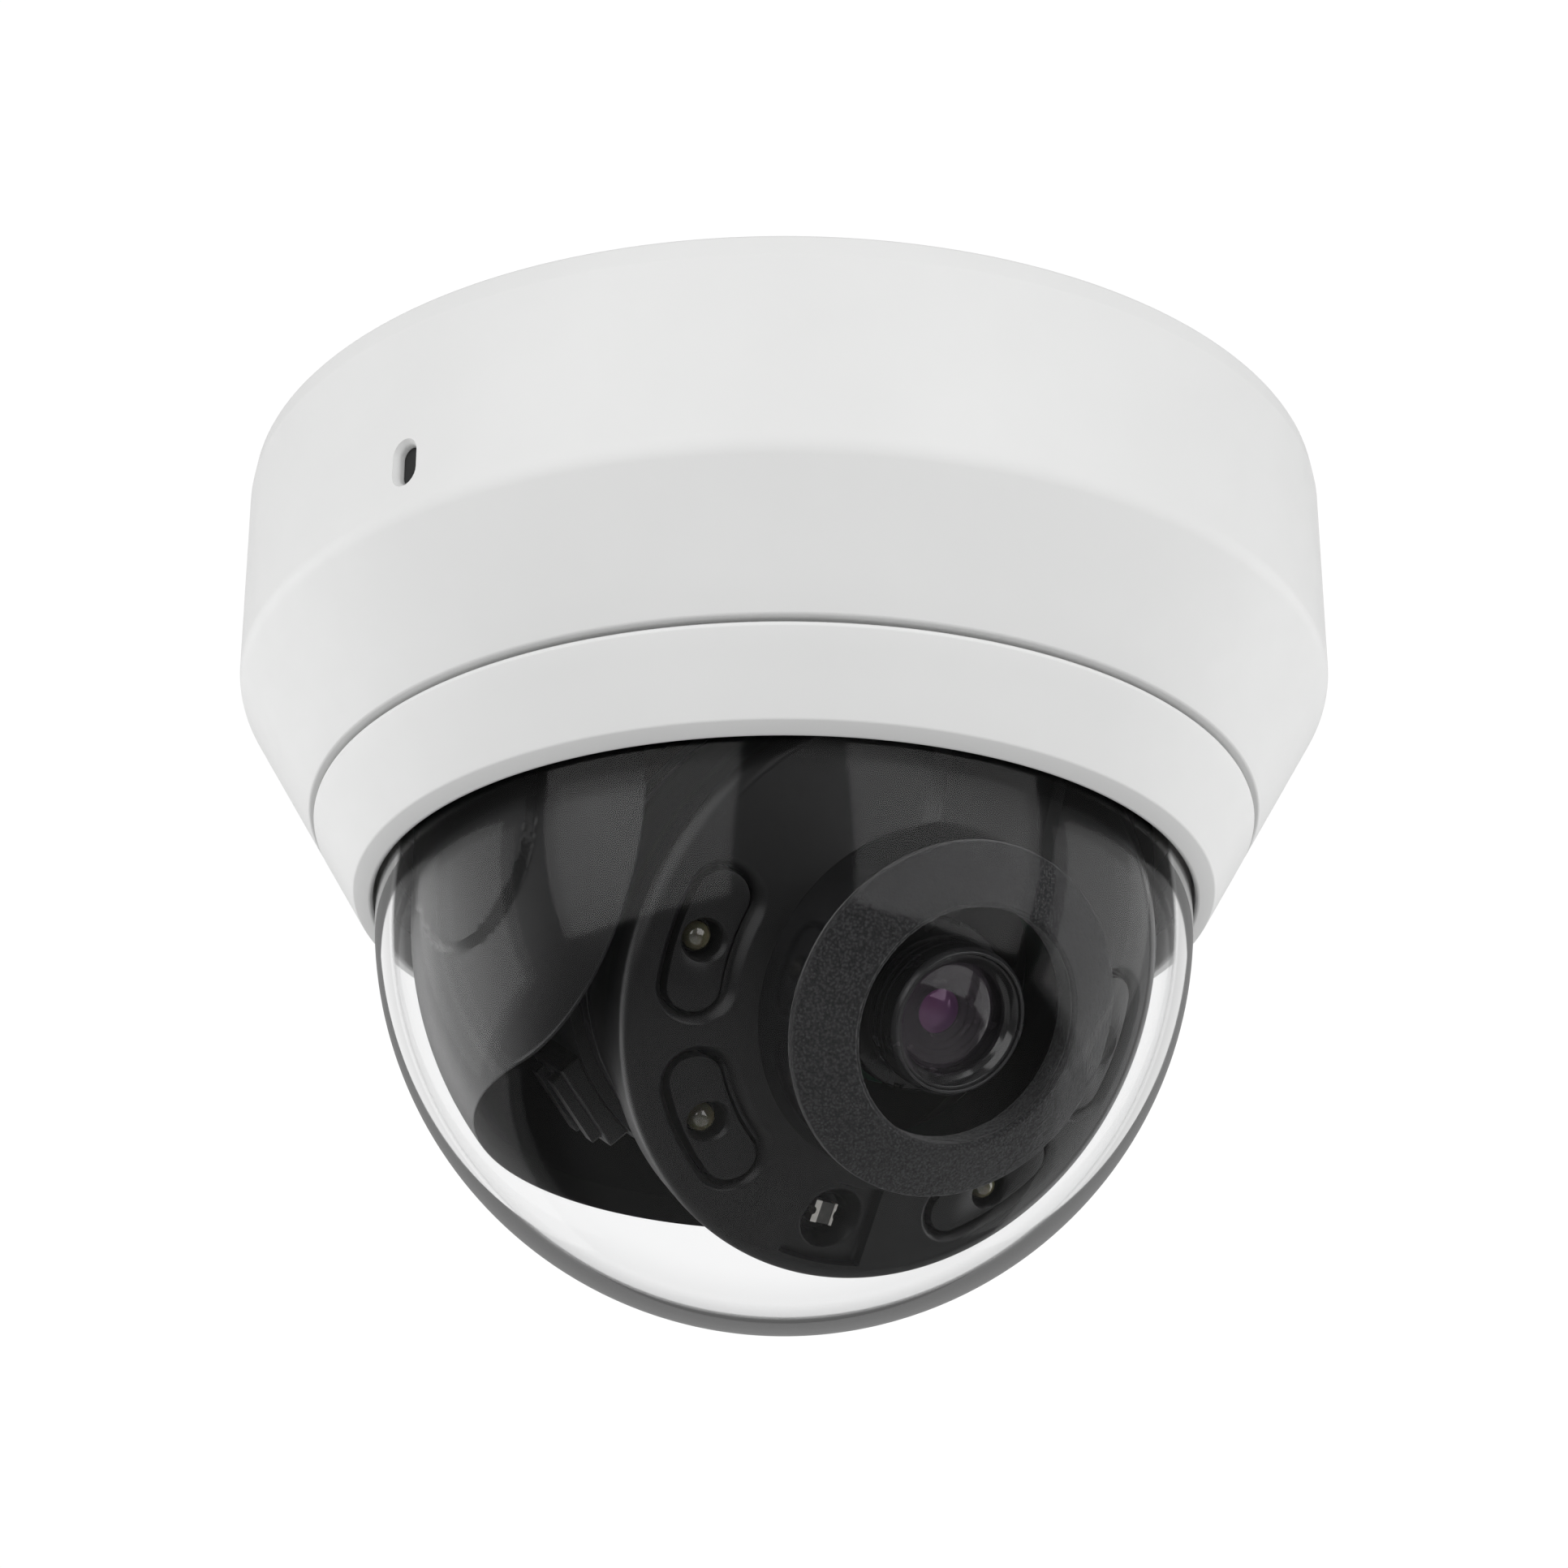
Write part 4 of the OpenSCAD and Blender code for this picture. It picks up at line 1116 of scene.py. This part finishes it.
# ------------------------------------------- carried-over CAD solids: finishes
SLOT_MAT = {
    "white_base": white_base, "white_shell": white_shell, "black_plastic": black_plastic, "rubber_seal": rubber,
    "foam": foam_mat, "steel": steel, "nylon": nylon, "circuit_board": pcb, "black_board": pcb_black, "chip": chip_mat,
    "green_plastic": green_plastic, "heat_metal": heat_metal, "lamp_lens": led_mat, "black_metal": black_metal,
    "lens_glass": lens_plain_mat, "clear_dome": dome_mat,
}
NODE_SLOT = {
    "mounting_base": "white_base", "cable_grommet": "rubber_seal", "housing_screws": "steel", "chassis_ring": "black_plastic",
    "chassis_screws": "steel", "pan_retainer": "black_plastic", "retainer_screws": "steel", "pan_washer": "nylon",
    "main_board": "circuit_board", "board_screws": "steel", "processor_chip": "chip", "heat_spreader": "heat_metal",
    "network_jack": "black_plastic", "power_terminal": "green_plastic", "line_transformer": "chip", "card_slot": "steel",
    "memory_card": "black_plastic", "reset_switch": "steel", "reset_button": "black_plastic", "release_latch": "black_plastic",
    "turntable_yoke": "black_plastic", "shroud_screws": "steel", "tilt_cradle": "black_plastic", "tilt_screws": "steel",
    "tilt_washers": "nylon", "rotation_clip": "black_plastic", "module_shell": "black_plastic", "rotation_retainer": "steel",
    "module_cap": "black_plastic", "module_board": "circuit_board", "cover_screws": "steel", "led_board": "black_board",
    "sensor_board": "circuit_board", "image_sensor": "chip", "filter_frame": "black_plastic", "lens_mount": "black_plastic",
    "lens_lock_ring": "black_metal",
}
for name, ob in NODES.items():
    if ob.hide_render:
        continue
    if name in NODE_SLOT:
        m = SLOT_MAT[NODE_SLOT[name]]
    elif name == "filter_blade":
        m = filter_mat
    elif name == "lens_inner_element":
        m = lens_inner_mat
    else:
        m = lens_plain_mat
    if len(ob.data.materials) == 0:
        ob.data.materials.append(m)
    for i in range(len(ob.data.materials)):
        ob.data.materials[i] = m
    # the solids come in with split corners: weld them, then round the hard edges a little
    wd = ob.modifiers.new("weld", "WELD")
    wd.merge_threshold = 0.000002
    if name not in ("lens_inner_element", "lens_rear_element"):
        bv = ob.modifiers.new("edge", "BEVEL")
        bv.width = 0.00012 if name.endswith("screws") or name in ("reset_button", "tilt_washers", "pan_washer", "memory_card", "card_slot") else 0.00022
        bv.segments = 2
        bv.limit_method = "ANGLE"
        bv.angle_limit = math.radians(40)
        bv.use_clamp_overlap = True
        bv.harden_normals = False

# --------------------------------------------------------------- the studio
cam_d = bpy.data.cameras.new("view_camera")
cam = bpy.data.objects.new("view_camera", cam_d)
bpy.context.scene.collection.objects.link(cam)
cam.location = (0.0, -0.45559, -0.24480)
cam.rotation_euler = (math.radians(90 + 24.85), 0.0, 0.0)
cam_d.lens = 104.89
cam_d.sensor_width = 36.0
cam_d.clip_start = 0.01
cam_d.clip_end = 50
bpy.context.scene.camera = cam


def stage_mat(name, col, rough):
    m = bpy.data.materials.new(name)
    m.use_nodes = True
    b = m.node_tree.nodes["Principled BSDF"]
    b.inputs["Base Color"].default_value = col
    b.inputs["Roughness"].default_value = rough
    b.inputs["Specular IOR Level"].default_value = 0.1
    return m


floor_me = bpy.data.meshes.new("floor")
bm = bmesh.new()
bmesh.ops.create_grid(bm, x_segments=2, y_segments=2, size=6.0)
bm.to_mesh(floor_me)
bm.free()
floor = bpy.data.objects.new("floor", floor_me)
bpy.context.scene.collection.objects.link(floor)
floor.location = (0, 0, -1.2)
floor_me.materials.append(stage_mat("floor_pale", (0.62, 0.62, 0.62, 1), 0.9))

world = bpy.data.worlds.new("studio")
bpy.context.scene.world = world
world.use_nodes = True
wn, wl = world.node_tree.nodes, world.node_tree.links
bg = wn["Background"]
bg.inputs["Color"].default_value = (1, 1, 1, 1)
bg.inputs["Strength"].default_value = 0.30
white = wn.new("ShaderNodeBackground")
white.inputs["Color"].default_value = (1, 1, 1, 1)
white.inputs["Strength"].default_value = 1.02
lp = wn.new("ShaderNodeLightPath")
wm = wn.new("ShaderNodeMixShader")
wl.new(lp.outputs["Is Camera Ray"], wm.inputs["Fac"])
wl.new(bg.outputs[0], wm.inputs[1])
wl.new(white.outputs[0], wm.inputs[2])
wl.new(wm.outputs[0], wn["World Output"].inputs["Surface"])


def area(name, loc, target, size, power, colour=(1, 1, 1)):
    d = bpy.data.lights.new(name, "AREA")
    d.shape = "SQUARE"
    d.size = size
    d.energy = power
    d.color = colour
    o = bpy.data.objects.new(name, d)
    bpy.context.scene.collection.objects.link(o)
    o.location = loc
    o.rotation_euler = (Vector(target) - Vector(loc)).to_track_quat("-Z", "Y").to_euler()
    return o


area("key", (-0.95, -1.15, 0.24), (0, 0, -0.04), 1.5, 13.9)
area("fill", (1.05, -1.05, 0.20), (0, 0, -0.04), 1.5, 13.1)
area("side_left", (-1.5, 0.25, -0.02), (0, 0, -0.05), 1.0, 5.0)
area("side_right", (1.5, 0.25, -0.02), (0, 0, -0.05), 1.0, 5.0)
area("back_left", (-1.15, 1.0, -0.12), (0, 0, -0.06), 1.3, 6.5)
area("back_right", (1.15, 1.0, -0.12), (0, 0, -0.06), 1.3, 5.5)

sc = bpy.context.scene
sc.view_settings.view_transform = "Standard"
sc.view_settings.look = "None"

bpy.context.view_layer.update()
